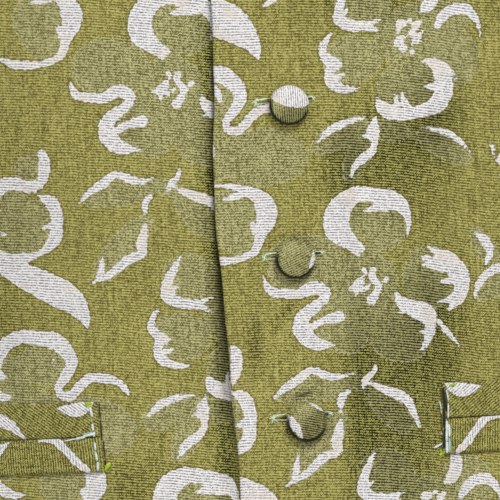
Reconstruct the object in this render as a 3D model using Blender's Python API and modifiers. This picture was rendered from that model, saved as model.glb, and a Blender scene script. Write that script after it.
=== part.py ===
"""A man's brocade waistcoat, buttoned and filled out as if worn, hollow inside.

Metres, +Z up. The front faces -Y, so the wearer's left is at +X. The origin is where the shoulders
hold the garment: on the centre plane, level with the neck ends of the shoulder seams.
The left front laps over the right front. "Own side" coordinates run from the centre line
towards the side seam of the panel in question, so both fronts share one set of functions.
"""

import math
from collections import namedtuple

import bpy
import numpy as np
from mathutils import Matrix, Vector

# Cloth
WALL = 0.0020  # face cloth, interlining and lining together
LIP_WALL = 0.0014
SEAM_GAP = 0.0003
LAP_GAP = 0.0004  # between the two fronts where they lap

# Torso form: rings from the lowest to the underarm
Ring = namedtuple("Ring", ("height", "half_width", "front_depth", "back_depth"))
RINGS = (
    Ring(-0.640, 0.188, 0.126, 0.130),
    Ring(-0.540, 0.177, 0.119, 0.121),
    Ring(-0.430, 0.157, 0.111, 0.098),
    Ring(-0.340, 0.164, 0.117, 0.106),
    Ring(-0.245, 0.174, 0.124, 0.116),
)
CHEST = RINGS[-1]
UNDERARM = CHEST.height
SQUARENESS = 2.3  # superellipse power of a ring
SHOULDER_POWER = 2.6  # superellipse power of the arch over a shoulder
CROWN = 0.010  # height of the shoulder line above the neck points, were it carried to the centre
SHOULDER_FALL = 0.040  # how far it has fallen at the shoulder tip
SHOULDER_TIP = 0.144
SEAM_ARCH = math.radians(96)  # the shoulder seam lies just behind the top of the arch

# Cut of the panels
SIDE_SEAM = math.radians(98)
OVERLAP_EDGE = -0.014  # left front, past the centre line
UNDERLAP_EDGE = -0.026  # right front, past the centre line
NECK_HALF_WIDTH = 0.072
NECK_DEPTH = 0.180  # below the neck points, where the two necklines cross
NECK_CURVE = 1.15
NAPE_DEPTH = 0.018
ARMHOLE_INSET = 0.128  # narrowest half width between the armholes, front
BACK_ARMHOLE_INSET = 0.136
ARMHOLE_TURN = 0.44  # share of the armhole's height in which its lower curve turns upright
HEM_POINT = 0.030
HEM_POINT_HEIGHT = -0.612
HEM_SIDE_HEIGHT = -0.562
HEM_BACK_HEIGHT = -0.556
HEM_CUTAWAY = 0.5  # slope of the hem from its point up to the front edge

# Buttons and buttonholes, top to bottom
BUTTON_LINE = 0.0125  # on the wearer's left of the centre line
BUTTON_HEIGHTS = (-0.230, -0.288, -0.346, -0.404, -0.465, -0.525)
BUTTON_RADIUS = 0.0075
BUTTON_RISE = 0.0052
BUTTON_RIM = (0.0012, 0.0016)  # the rim's straight side runs between these heights
BUTTON_DOME = (30, 58, 82)  # degrees from the crown, where the dome's profile has a point
BUTTON_UNDERSIDE = 0.0063  # radius of the flat underside
BUTTON_LIFT = 0.0006  # underside above the cloth
BUTTON_STEPS = 18
SHANK_RADIUS = 0.0014
BUTTONHOLE_LENGTH = 0.022
BUTTONHOLE_OPEN = 0.0044  # held open by the shank

# Bound pockets
POCKET_START = 0.0643  # inner end, from the centre line
POCKET_LENGTH = 0.112
POCKET_MOUTH = -0.4675
LIP_HEIGHT = 0.0132
LIP_GAP = 0.0005  # to the front under it, where the folds twist that wall's faces

# Largest soft folds, each a ridge or, with its depth below zero, a trough at an own-side distance
Fold = namedtuple("Fold", ("across", "half_width", "depth", "top", "bottom"))
LEFT_FRONT_FOLDS = (
    Fold(0.051, 0.013, 0.0014, -0.330, -0.600),
    Fold(0.076, 0.014, -0.0014, -0.300, -0.600),
    Fold(0.106, 0.016, 0.0026, -0.290, -0.560),
    Fold(0.134, 0.014, -0.0020, -0.290, -0.540),
)
RIGHT_FRONT_FOLDS = (
    Fold(0.058, 0.016, 0.0012, -0.330, -0.590),
    Fold(0.100, 0.016, -0.0018, -0.300, -0.560),
    Fold(0.132, 0.014, 0.0022, -0.290, -0.540),
)
BACK_FOLDS = (
    Fold(0.040, 0.016, 0.0032, -0.320, -0.520),
    Fold(0.082, 0.017, -0.0026, -0.300, -0.540),
    Fold(0.126, 0.016, 0.0032, -0.280, -0.520),
)
FOLD_FADE = 0.070  # height over which a fold comes and goes
LAP_EASE = (0.031, 0.048)  # where the left front comes down off the right front's edge
LAP_TOP = (-0.165, -0.110)  # where it stops standing off, above the crossing of the necklines

# Grids of the panels
COLUMNS_FRONT = 23
COLUMNS_BACK = 13
COLUMN_GATHER = 1.12  # above 1 draws a front's columns towards its edge
ROWS_BELOW = 14
ROWS_ARMHOLE = 11  # up the lower curve of the armhole
ROWS_FRONT_TOP = 7  # from there to the shoulder seam
ROWS_BACK_MIDDLE = 3  # from there to the nape
ROWS_NAPE = 6  # from the nape to the shoulder seam
FINE_STEPS = 400  # along a ring, where lengths are measured
LIP_ROWS = 3
LIP_CLEAR = 0.004  # from a lip's end to the panel's nearest column that it also follows
PROBE = 0.002  # step to each side of a point, where a slope is measured

OLIVE = (0.245, 0.228, 0.085, 1.0)
PLAIN_OLIVE = (0.215, 0.205, 0.098, 1.0)


def smoothstep(low, high, value):
    """0 below low, 1 above high, and a smooth rise between; low may be the larger."""
    share = np.clip((value - low) / (high - low), 0.0, 1.0)
    return share * share * (3 - 2 * share)


def signed_power(value, power):
    return np.sign(value) * np.abs(value) ** power


def ring_size(height, column):
    """One size of the ring at a height: a cubic through the table, level at the underarm."""
    table = np.array(RINGS)
    heights, sizes = table[:, 0], table[:, Ring._fields.index(column)]
    slopes = np.gradient(sizes, heights)
    slopes[-1] = 0.0
    height = np.clip(height, heights[0], heights[-1])
    k = np.clip(np.searchsorted(heights, height, side="right") - 1, 0, len(heights) - 2)
    step = heights[k + 1] - heights[k]
    t = (height - heights[k]) / step
    return (
        sizes[k] * (1 + 2 * t) * (1 - t) ** 2
        + slopes[k] * step * t * (1 - t) ** 2
        + sizes[k + 1] * t * t * (3 - 2 * t)
        + slopes[k + 1] * step * t * t * (t - 1)
    )


def shoulder_line(across):
    """Height of the shoulder line at a distance from the centre plane."""
    return CROWN - SHOULDER_FALL * (across / SHOULDER_TIP) ** 2


def arch_rise(arch):
    """Share of the height from underarm to shoulder line that is reached at an arch angle."""
    return np.sin(arch) ** (2 / SHOULDER_POWER)


def arch_at_rise(share):
    """The arch angle at which that share of the height is reached; arch_rise turned round."""
    return np.arcsin(np.clip(share, 0, 1) ** (SHOULDER_POWER / 2))


def arch_of_height(across, height):
    """The arch angle at which the front of the torso reaches a height."""
    return arch_at_rise((height - UNDERARM) / (shoulder_line(across) - UNDERARM))


def turn_of(across, half_width):
    """The angle round a ring at which it is that far from the centre plane."""
    return np.arcsin(signed_power(np.clip(across / half_width, -1, 1), SQUARENESS / 2))


def torso(turn, height, arch):
    """Points of the bare form: a ring below the underarm (arch 0), an arch over the shoulder above."""
    half_width = ring_size(height, "half_width")
    x = half_width * signed_power(np.sin(turn), 2 / SQUARENESS)
    forward = signed_power(np.cos(turn), 2 / SQUARENESS) * signed_power(
        np.cos(arch), 2 / SHOULDER_POWER
    )
    depth = np.where(
        forward > 0, ring_size(height, "front_depth"), ring_size(height, "back_depth")
    )
    top = shoulder_line(x) - UNDERARM
    z = np.where(arch > 0, UNDERARM + top * arch_rise(arch), height)
    return np.stack([x, -depth * forward, z], axis=-1)


def outward(points, height):
    """Level outward direction of a ring at those points."""
    half_width = ring_size(height, "half_width")
    depth = np.where(
        points[..., 1] < 0,
        ring_size(height, "front_depth"),
        ring_size(height, "back_depth"),
    )
    gradient = np.stack(
        [
            signed_power(points[..., 0] / half_width, SQUARENESS - 1) / half_width,
            signed_power(points[..., 1] / depth, SQUARENESS - 1) / depth,
            np.zeros_like(points[..., 2]),
        ],
        axis=-1,
    )
    return gradient / np.linalg.norm(gradient, axis=-1, keepdims=True)


def fold_push(points, folds):
    """How far the soft folds push the cloth out, as a sum of bell-shaped ridges and troughs."""
    push = np.zeros(points.shape[:-1])
    for fold in folds:
        bell = np.exp(-(((points[..., 0] - fold.across) / fold.half_width) ** 2))
        fade = smoothstep(fold.top, fold.top - FOLD_FADE, points[..., 2])
        fade = fade * smoothstep(fold.bottom, fold.bottom + FOLD_FADE, points[..., 2])
        push += fold.depth * bell * fade
    return push


def lap_push(points):
    """How far the left front stands off the form, where the right front lies under it."""
    over = 1 - smoothstep(*LAP_EASE, points[..., 0])
    below_neck = 1 - smoothstep(*LAP_TOP, points[..., 2])
    return (WALL + LAP_GAP) * over * below_neck


def front_surface(turn, height, arch, laps):
    """Inner face of a front at own-side turns. laps is True for the left front."""
    points = torso(turn, height, arch)
    if laps:
        push = fold_push(points, LEFT_FRONT_FOLDS) + lap_push(points)
    else:
        push = fold_push(points, RIGHT_FRONT_FOLDS)
    return points + outward(points, height) * push[..., None]


def back_surface(turn, height, arch):
    """Inner face of a back half at own-side turns."""
    points = torso(turn, height, arch)
    return points + outward(points, height) * fold_push(points, BACK_FOLDS)[..., None]


def neckline(height):
    """Own-side distance of the front neckline at a height; it goes on past the centre line."""
    depth = np.maximum(-height, 0.0)
    return NECK_HALF_WIDTH * (1 - (depth / NECK_DEPTH) ** NECK_CURVE)


def armhole_turn(share, inset, quarter_turn):
    """Turn of the armhole edge at a share of its height: a quarter curve in, then out to the tip."""
    turned = np.clip(share / ARMHOLE_TURN, 0, 1)
    lower = 1 - np.sqrt(1 - (1 - turned) ** 2)
    across = inset + (SHOULDER_TIP - inset) * smoothstep(ARMHOLE_TURN, 1.0, share)
    upright = turn_of(across, CHEST.half_width)
    return upright + (quarter_turn - upright) * lower


def lengths_along(points):
    """Length of a polyline up to each of its points."""
    return np.append(0, np.cumsum(np.linalg.norm(np.diff(points, axis=0), axis=1)))


def spaced_turns(start, end, height, columns, gather=1.0):
    """Turns spaced evenly along the ring at a height; gather above 1 draws them towards the start."""
    fine = np.linspace(start, end, FINE_STEPS)
    length = lengths_along(torso(fine, np.full(FINE_STEPS, height), np.zeros(FINE_STEPS)))
    share = np.linspace(0, 1, columns) ** gather
    return np.interp(share * length[-1], length, fine)


def front_hem(turn):
    """Height of a front's hem round the ring: a short point, then a rise to the side seam."""
    half_width = ring_size(HEM_POINT_HEIGHT, "half_width")
    across = half_width * signed_power(np.sin(turn), 2 / SQUARENESS)
    cutaway = HEM_POINT_HEIGHT + HEM_CUTAWAY * np.maximum(HEM_POINT - across, 0)
    rise = smoothstep(turn_of(HEM_POINT, half_width), SIDE_SEAM * 1.15, turn)
    return cutaway + (HEM_SIDE_HEIGHT - HEM_POINT_HEIGHT) * rise


def back_hem(turn):
    low = front_hem(np.array(SIDE_SEAM))
    return low + (HEM_BACK_HEIGHT - low) * smoothstep(SIDE_SEAM, math.pi, turn)


def armhole_arches():
    """Arch angles up the lower curve of the armhole, at even steps round that quarter curve."""
    swing = np.linspace(0, math.pi / 2, ROWS_ARMHOLE + 1)[1:]
    return arch_at_rise(ARMHOLE_TURN * (1 - np.cos(swing)))


def front_arches():
    """Arch angles of a front's rows above the underarm, the last on the shoulder seam."""
    low = armhole_arches()
    return np.append(low, np.linspace(low[-1], SEAM_ARCH, ROWS_FRONT_TOP + 1)[1:])


def back_arches(nape_rise, seam):
    """Arch angles of a back half's rows: one at the nape, then even steps out along the neckline."""
    low = armhole_arches()
    middle = np.linspace(low[-1], arch_at_rise(nape_rise), ROWS_BACK_MIDDLE + 1)[1:]
    step_out = (np.arange(ROWS_NAPE) + 1) / ROWS_NAPE
    top = arch_at_rise(nape_rise + (arch_rise(seam) - nape_rise) * step_out**2)
    return np.concatenate([low, middle, top])


def front_panel(laps):
    """Grid of a front's inner face, on its own side, rows from hem to shoulder seam."""
    side = SIDE_SEAM - SEAM_GAP / 2 / CHEST.back_depth
    edge = OVERLAP_EDGE if laps else UNDERLAP_EDGE
    spacing = (COLUMNS_FRONT, COLUMN_GATHER)
    rows = []
    for share in np.linspace(0, 1, ROWS_BELOW + 1):
        level = HEM_POINT_HEIGHT + (UNDERARM - HEM_POINT_HEIGHT) * share
        start = turn_of(edge, ring_size(level, "half_width"))
        turn = spaced_turns(start, side, level, *spacing)
        hem = front_hem(turn)
        height = hem + (UNDERARM - hem) * share
        rows.append(front_surface(turn, height, np.zeros(COLUMNS_FRONT), laps))
    for arch in front_arches():
        rise = arch_rise(arch)
        height = UNDERARM + (shoulder_line(NECK_HALF_WIDTH) - UNDERARM) * rise
        across, climbed = max(edge, neckline(height)), rise
        if arch > math.pi / 2:
            across, climbed = NECK_HALF_WIDTH, 1.0
        outer = armhole_turn(climbed, ARMHOLE_INSET, side)
        inner = turn_of(across, CHEST.half_width)
        turn = spaced_turns(inner, outer, UNDERARM, *spacing)
        level = np.full(COLUMNS_FRONT, UNDERARM)
        rows.append(front_surface(turn, level, np.full(COLUMNS_FRONT, arch), laps))
    rows[-1][:, 1] -= SEAM_GAP / 2
    return np.array(rows)


def back_panel():
    """Grid of a back half's inner face, on its own side, rows from hem to shoulder seam."""
    side = SIDE_SEAM + SEAM_GAP / 2 / CHEST.back_depth
    seam = math.pi - SEAM_ARCH
    rows = []
    for share in np.linspace(0, 1, ROWS_BELOW + 1):
        level = HEM_BACK_HEIGHT + (UNDERARM - HEM_BACK_HEIGHT) * share
        turn = spaced_turns(side, math.pi, level, COLUMNS_BACK)
        hem = back_hem(turn)
        height = hem + (UNDERARM - hem) * share
        rows.append(back_surface(turn, height, np.zeros(COLUMNS_BACK)))
    nape = 1 - (NAPE_DEPTH + CROWN) / (CROWN - UNDERARM)
    for arch in back_arches(nape, seam):
        cut = (arch_rise(arch) - nape) / (arch_rise(seam) - nape)
        neck = NECK_HALF_WIDTH * np.sqrt(np.clip(cut, 0, 1))
        climbed = arch_rise(arch) / arch_rise(seam)
        outer = math.pi - armhole_turn(climbed, BACK_ARMHOLE_INSET, math.pi - side)
        inner = math.pi - turn_of(neck, CHEST.half_width)
        turn = spaced_turns(outer, inner, UNDERARM, COLUMNS_BACK)
        level = np.full(COLUMNS_BACK, UNDERARM)
        rows.append(back_surface(turn, level, np.full(COLUMNS_BACK, arch)))
    rows[-1][:, 1] += SEAM_GAP / 2
    grid = np.array(rows)
    grid[:, :, 0] = np.maximum(grid[:, :, 0], SEAM_GAP / 2)
    return grid


def material(name, colour, roughness):
    made = bpy.data.materials.new(name)
    made.use_nodes = True
    shader = made.node_tree.nodes["Principled BSDF"]
    shader.inputs["Base Color"].default_value = colour
    shader.inputs["Roughness"].default_value = roughness
    shader.inputs["Metallic"].default_value = 0.0
    return made


def add_object(name, mesh, finish, collection):
    made = bpy.data.objects.new(name, mesh)
    collection.objects.link(made)
    mesh.materials.append(finish)
    return made


def sheet_object(name, grid, wall, mirrored, finish, collection):
    """A wall of cloth: the grid is its inner face, and Solidify thickens it outwards."""
    if mirrored:
        grid = grid * np.array([-1.0, 1.0, 1.0])
    rows, columns = grid.shape[:2]
    index = np.arange(rows * columns).reshape(rows, columns)
    corners = [index[:-1, :-1], index[:-1, 1:], index[1:, 1:], index[1:, :-1]]
    if mirrored:
        corners.reverse()
    faces = np.stack(corners, axis=-1).reshape(-1, 4)
    mesh = bpy.data.meshes.new(name)
    mesh.from_pydata(grid.reshape(-1, 3).tolist(), [], faces.tolist())
    mesh.shade_smooth()
    made = add_object(name, mesh, finish, collection)
    solidify = made.modifiers.new("wall", "SOLIDIFY")
    solidify.thickness = wall
    solidify.offset = 1.0
    solidify.use_rim = True
    return made


def outer_frame(across, height):
    """Point and outward normal of the left front's outer face, at a distance across and a height."""

    def at(side_step, up_step):
        level = height + up_step
        arch = arch_of_height(across, level)
        turn = turn_of(across + side_step, ring_size(level, "half_width"))
        return Vector(front_surface(np.array(turn), np.array(level), np.array(arch), True))

    sideways = at(PROBE, 0) - at(-PROBE, 0)
    upwards = at(0, PROBE) - at(0, -PROBE)
    normal = sideways.cross(upwards).normalized()
    return at(0, 0) + normal * WALL, normal


def button(number, height, finish, collection):
    """A domed, cloth-covered button whose shank goes through the buttonhole to the right front."""
    shank_end = -(WALL + LAP_GAP - SEAM_GAP)
    rim_low, rim_high = BUTTON_RIM
    profile = [(0.0, BUTTON_LIFT + BUTTON_RISE)]
    for angle in np.radians(BUTTON_DOME):
        crown = BUTTON_LIFT + rim_high + (BUTTON_RISE - rim_high) * math.cos(angle)
        profile.append((BUTTON_RADIUS * math.sin(angle), crown))
    profile.append((BUTTON_RADIUS, BUTTON_LIFT + rim_low))
    profile.append((BUTTON_UNDERSIDE, BUTTON_LIFT))
    profile.append((SHANK_RADIUS, BUTTON_LIFT))
    profile.append((SHANK_RADIUS, shank_end))
    profile.append((0.0, shank_end))
    name = f"button_{number}"
    mesh = bpy.data.meshes.new(name)
    edges = [(k, k + 1) for k in range(len(profile) - 1)]
    mesh.from_pydata([(radius, 0.0, rise) for radius, rise in profile], edges, [])
    made = add_object(name, mesh, finish, collection)
    screw = made.modifiers.new("turned", "SCREW")
    screw.steps = screw.render_steps = BUTTON_STEPS
    screw.use_merge_vertices = True
    screw.merge_threshold = 1e-6
    point, normal = outer_frame(BUTTON_LINE, height)
    made.location = point
    made.rotation_euler = normal.to_track_quat("Z", "Y").to_euler()
    return made


def buttonhole_cutter(number, height, collection):
    """A lens-shaped slot across the left front, held open by the button's shank."""
    bpy.ops.mesh.primitive_cylinder_add(vertices=16, radius=1.0, depth=WALL * 3)
    cutter = bpy.context.active_object
    cutter.name = f"buttonhole_{number}"
    half_slot = (BUTTONHOLE_LENGTH / 2, BUTTONHOLE_OPEN / 2, 1.0)
    cutter.data.transform(Matrix.Diagonal(half_slot).to_4x4())
    point, normal = outer_frame(BUTTON_LINE, height)
    cutter.location = point - normal * WALL / 2
    cutter.rotation_euler = normal.to_track_quat("Z", "Y").to_euler()
    cutter.hide_render = True
    cutter.display_type = "WIRE"
    for home in list(cutter.users_collection):
        home.objects.unlink(cutter)
    collection.objects.link(cutter)
    return cutter


def level_line(panel, height):
    """The line on a panel's inner face at a height, with one point for each of its columns."""
    line = [
        [np.interp(height, column[:, 2], column[:, 0]), np.interp(height, column[:, 2], column[:, 1])]
        for column in panel[: ROWS_BELOW + 1].transpose(1, 0, 2)
    ]
    return np.column_stack([np.array(line), np.full(len(line), height)])


def pocket_lip(name, panel, low, high, mirrored, finish, collection):
    """One lip of a bound pocket: a strip of the front panel's points, moved out to its outer face."""

    def pocket_span(line):
        length = lengths_along(line)
        start = np.interp(POCKET_START, line[:, 0], length)
        return length, start, start + POCKET_LENGTH

    length, start, end = pocket_span(level_line(panel, POCKET_MOUTH))
    covered = (length > start + LIP_CLEAR) & (length < end - LIP_CLEAR)
    rows = []
    for height in np.linspace(low, high, LIP_ROWS):
        line = level_line(panel, height)
        length, start, end = pocket_span(line)
        stops = np.concatenate([[start], length[covered], [end]])
        strip = np.column_stack([np.interp(stops, length, line[:, axis]) for axis in range(3)])
        rows.append(strip + outward(strip, height) * (WALL + LIP_GAP))
    return sheet_object(name, np.array(rows), LIP_WALL, mirrored, finish, collection)


def build():
    for old in list(bpy.data.objects):
        bpy.data.objects.remove(old)
    garment = bpy.data.collections.new("waistcoat")
    cutters = bpy.data.collections.new("cutters")
    bpy.context.scene.collection.children.link(garment)
    bpy.context.scene.collection.children.link(cutters)
    brocade = material("brocade", OLIVE, 0.85)
    plain = material("plain_cloth", PLAIN_OLIVE, 0.9)

    lips = (
        ("lower", POCKET_MOUTH - SEAM_GAP / 2 - LIP_HEIGHT, POCKET_MOUTH - SEAM_GAP / 2),
        ("upper", POCKET_MOUTH + SEAM_GAP / 2, POCKET_MOUTH + SEAM_GAP / 2 + LIP_HEIGHT),
    )
    fronts = {}
    for side, mirrored in (("left", False), ("right", True)):
        panel = front_panel(laps=not mirrored)
        fronts[side] = sheet_object(f"front_{side}", panel, WALL, mirrored, brocade, garment)
        sheet_object(f"back_{side}", back_panel(), WALL, mirrored, plain, garment)
        for lip, low, high in lips:
            name = f"pocket_{side}_{lip}_lip"
            pocket_lip(name, panel, low, high, mirrored, brocade, garment)

    for number, height in enumerate(BUTTON_HEIGHTS, start=1):
        button(number, height, brocade, garment)
        slot = fronts["left"].modifiers.new(f"buttonhole_{number}", "BOOLEAN")
        slot.operation = "DIFFERENCE"
        slot.solver = "EXACT"
        slot.object = buttonhole_cutter(number, height, cutters)


build()
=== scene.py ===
"""The looks of a man's brocade waistcoat, buttoned and filled out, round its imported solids.

Metres, +Z up, the front faces -Y and the wearer's left is +X. "Own side" distances run from the centre
plane towards the side seam of the panel in question. Cloth and pattern are measured in millimetres.
"""

import math
from collections import namedtuple

import bpy
import numpy as np
from mathutils import Matrix, Vector


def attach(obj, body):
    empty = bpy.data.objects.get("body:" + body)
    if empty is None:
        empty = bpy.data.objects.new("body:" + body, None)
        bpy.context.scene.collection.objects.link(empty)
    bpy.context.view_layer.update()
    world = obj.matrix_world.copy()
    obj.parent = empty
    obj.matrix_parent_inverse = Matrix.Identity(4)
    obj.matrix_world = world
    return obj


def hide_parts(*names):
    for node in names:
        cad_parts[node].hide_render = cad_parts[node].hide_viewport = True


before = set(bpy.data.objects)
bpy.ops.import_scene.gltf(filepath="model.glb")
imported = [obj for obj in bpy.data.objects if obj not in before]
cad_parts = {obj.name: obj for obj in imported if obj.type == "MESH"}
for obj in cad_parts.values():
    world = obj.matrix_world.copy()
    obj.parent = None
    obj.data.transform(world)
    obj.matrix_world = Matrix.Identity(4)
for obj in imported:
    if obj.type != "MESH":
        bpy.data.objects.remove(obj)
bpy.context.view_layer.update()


# The view: a close look at the buttoned front, level and from straight ahead, with a long lens. The
# camera leans 3 degrees, as the garment does in the picture.
VIEW_WIDTH = 0.1875  # metres across the picture, at the cloth
VIEW_CENTRE = (-0.0046, -0.122, -0.400)
VIEW_LEAN = math.radians(3)
CAMERA_AWAY = 2.6

camera_data = bpy.data.cameras.new("camera")
camera_data.sensor_width = 36.0
camera_data.lens = camera_data.sensor_width * CAMERA_AWAY / VIEW_WIDTH
camera = bpy.data.objects.new("camera", camera_data)
bpy.context.scene.collection.objects.link(camera)
camera.location = Vector(VIEW_CENTRE) - Vector((0, CAMERA_AWAY, 0))
level_view = Matrix.Rotation(math.pi / 2, 3, "X")
camera.rotation_euler = (level_view @ Matrix.Rotation(-VIEW_LEAN, 3, "Z")).to_euler()
bpy.context.scene.camera = camera


# The studio: a pale floor below the hem, pale surroundings, a broad key light from above on the right
# that shades each button's lower left, a weak fill from the left, and one behind for the back.
Light = namedtuple("Light", "name place size power")
STUDIO_LIGHTS = (
    Light("key", (0.36, -1.20, 0.52), 0.42, 13.0),
    Light("fill", (-1.50, -1.60, 0.10), 1.80, 10.0),
    Light("rear", (1.70, 1.10, 0.70), 0.90, 30.0),
)
LIT_POINT = (0.0, -0.05, -0.38)
FLOOR_HEIGHT = -0.86
FLOOR_HALF = 9.0

for light in STUDIO_LIGHTS:
    lamp_data = bpy.data.lights.new(light.name, "AREA")
    lamp_data.size = light.size
    lamp_data.energy = light.power
    lamp = bpy.data.objects.new(light.name, lamp_data)
    lamp.location = light.place
    lamp.rotation_euler = (Vector(LIT_POINT) - lamp.location).to_track_quat("-Z", "Y").to_euler()
    bpy.context.scene.collection.objects.link(lamp)

world = bpy.data.worlds.new("surroundings")
world.use_nodes = True
world.node_tree.nodes["Background"].inputs["Color"].default_value = (0.90, 0.91, 0.93, 1)
world.node_tree.nodes["Background"].inputs["Strength"].default_value = 0.33
bpy.context.scene.world = world
bpy.context.scene.view_settings.view_transform = "Standard"

floor_mesh = bpy.data.meshes.new("floor")
floor_corners = [(-1, -1), (1, -1), (1, 1), (-1, 1)]
floor_mesh.from_pydata(
    [(x * FLOOR_HALF, y * FLOOR_HALF, FLOOR_HEIGHT) for x, y in floor_corners], [], [(0, 1, 2, 3)]
)
floor = bpy.data.objects.new("floor", floor_mesh)
floor_finish = bpy.data.materials.new("floor")
floor_finish.use_nodes = True
floor_finish.node_tree.nodes["Principled BSDF"].inputs["Base Color"].default_value = (0.78, 0.77, 0.75, 1)
floor_finish.node_tree.nodes["Principled BSDF"].inputs["Roughness"].default_value = 0.8
floor_mesh.materials.append(floor_finish)
bpy.context.scene.collection.objects.link(floor)


# The right front, underneath: one panel of ribbed silk brocade over its interlining, cut to a short
# point at the hem. It lies on the filled-out form, whose rings and shoulder arch are worked out here.
WALL = 0.0020
LAP_GAP = 0.0004
SEAM_GAP = 0.0003
Ring = namedtuple("Ring", "height half_width front_depth back_depth")
RINGS = (
    Ring(-0.640, 0.188, 0.126, 0.130),
    Ring(-0.540, 0.177, 0.119, 0.121),
    Ring(-0.430, 0.157, 0.111, 0.098),
    Ring(-0.340, 0.164, 0.117, 0.106),
    Ring(-0.245, 0.174, 0.124, 0.116),
)
CHEST = RINGS[-1]
UNDERARM = CHEST.height
SQUARENESS = 2.3
SHOULDER_POWER = 2.6
CROWN = 0.010
SHOULDER_FALL = 0.040
SHOULDER_TIP = 0.144
SEAM_ARCH = math.radians(96)
SIDE_SEAM = math.radians(98)
UNDERLAP_EDGE = -0.026
NECK_HALF_WIDTH = 0.072
NECK_DEPTH = 0.180
NECK_CURVE = 1.15
ARMHOLE_INSET = 0.128
ARMHOLE_TURN = 0.44
HEM_POINT = 0.030
HEM_POINT_HEIGHT = -0.612
HEM_SIDE_HEIGHT = -0.562
HEM_CUTAWAY = 0.5
FINE_STEPS = 400


def smoothstep(low, high, value):
    """0 below low, 1 above high, and a smooth rise between; low may be the larger."""
    share = np.clip((value - low) / (high - low), 0.0, 1.0)
    return share * share * (3 - 2 * share)


def signed_power(value, power):
    """The power of a value's size, with the value's sign."""
    return np.sign(value) * np.abs(value) ** power


def bell(away, reach):
    """1 in the middle, falling smoothly on both sides: a power of e to minus the distance squared."""
    return np.exp(-((away / reach) ** 2))


def cubic(t, start, start_slope, end, end_slope):
    """The cubic that goes from start to end as t goes from 0 to 1, with those slopes at its ends."""
    return (
        start * (1 + 2 * t) * (1 - t) ** 2
        + start_slope * t * (1 - t) ** 2
        + end * t * t * (3 - 2 * t)
        + end_slope * t * t * (t - 1)
    )


def ring_size(height, column):
    """One size of the ring at a height: a cubic through the table, level at the underarm."""
    table = np.array(RINGS)
    heights, sizes = table[:, 0], table[:, Ring._fields.index(column)]
    slopes = np.gradient(sizes, heights)
    slopes[-1] = 0.0
    height = np.clip(height, heights[0], heights[-1])
    k = np.clip(np.searchsorted(heights, height, side="right") - 1, 0, len(heights) - 2)
    step = heights[k + 1] - heights[k]
    t = (height - heights[k]) / step
    return cubic(t, sizes[k], slopes[k] * step, sizes[k + 1], slopes[k + 1] * step)


def shoulder_line(across):
    """Height of the shoulder line, which falls with the square of the distance across."""
    return CROWN - SHOULDER_FALL * (across / SHOULDER_TIP) ** 2


def arch_rise(arch):
    """Share of the height from underarm to shoulder line: a power of the arch angle's sine."""
    return np.sin(arch) ** (2 / SHOULDER_POWER)


def arch_at_rise(share):
    """The arch angle at which that share of the height is reached; arch_rise turned round."""
    return np.arcsin(np.clip(share, 0, 1) ** (SHOULDER_POWER / 2))


def turn_of(across, half_width):
    """The angle round a superellipse ring at which it is that far from the centre plane."""
    return np.arcsin(signed_power(np.clip(across / half_width, -1, 1), SQUARENESS / 2))


def torso(turn, height, arch):
    """Points of the bare form: a superellipse ring up to the underarm, a superellipse arch above it."""
    x = ring_size(height, "half_width") * signed_power(np.sin(turn), 2 / SQUARENESS)
    forward = signed_power(np.cos(turn), 2 / SQUARENESS) * signed_power(
        np.cos(arch), 2 / SHOULDER_POWER
    )
    depth = np.where(
        forward > 0, ring_size(height, "front_depth"), ring_size(height, "back_depth")
    )
    top = shoulder_line(x) - UNDERARM
    z = np.where(arch > 0, UNDERARM + top * arch_rise(arch), height)
    return np.stack([x, -depth * forward, z], axis=-1)


def outward(points, height):
    """Level outward direction of a ring: the slope of its superellipse formula at those points."""
    half_width = ring_size(height, "half_width")
    depth = np.where(
        points[..., 1] < 0, ring_size(height, "front_depth"), ring_size(height, "back_depth")
    )
    gradient = np.stack(
        [
            signed_power(points[..., 0] / half_width, SQUARENESS - 1) / half_width,
            signed_power(points[..., 1] / depth, SQUARENESS - 1) / depth,
            np.zeros_like(points[..., 2]),
        ],
        axis=-1,
    )
    return gradient / np.linalg.norm(gradient, axis=-1, keepdims=True)


def lengths_along(points):
    """Length of a polyline up to each of its points."""
    return np.append(0, np.cumsum(np.linalg.norm(np.diff(points, axis=0), axis=1)))


def ring_turns(start, end, level, shares):
    """Turns at shares of a ring's arc from start to end, and their arc lengths from the centre plane."""
    fine = np.linspace(start, end, FINE_STEPS)
    length = lengths_along(torso(fine, np.full(FINE_STEPS, level), np.zeros(FINE_STEPS)))
    run = shares * length[-1]
    return np.interp(run, length, fine), run - np.interp(0.0, fine, length)


def front_hem(turn):
    """Height of a front's hem round the ring: a short point, then a smooth rise to the side seam."""
    half_width = ring_size(HEM_POINT_HEIGHT, "half_width")
    across = half_width * signed_power(np.sin(turn), 2 / SQUARENESS)
    cutaway = HEM_POINT_HEIGHT + HEM_CUTAWAY * np.maximum(HEM_POINT - across, 0)
    rise = smoothstep(turn_of(HEM_POINT, half_width), SIDE_SEAM * 1.15, turn)
    return cutaway + (HEM_SIDE_HEIGHT - HEM_POINT_HEIGHT) * rise


def neckline(height):
    """Own-side distance of the front neckline at a height; it goes on past the centre line."""
    depth = np.maximum(-height, 0.0)
    return NECK_HALF_WIDTH * (1 - (depth / NECK_DEPTH) ** NECK_CURVE)


def armhole_turn(share, inset, quarter_turn):
    """Turn of the armhole edge at a share of its height: a quarter curve in, then out to the tip."""
    turned = np.clip(share / ARMHOLE_TURN, 0, 1)
    lower = 1 - np.sqrt(1 - (1 - turned) ** 2)
    across = inset + (SHOULDER_TIP - inset) * smoothstep(ARMHOLE_TURN, 1.0, share)
    upright = turn_of(across, CHEST.half_width)
    return upright + (quarter_turn - upright) * lower


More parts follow.
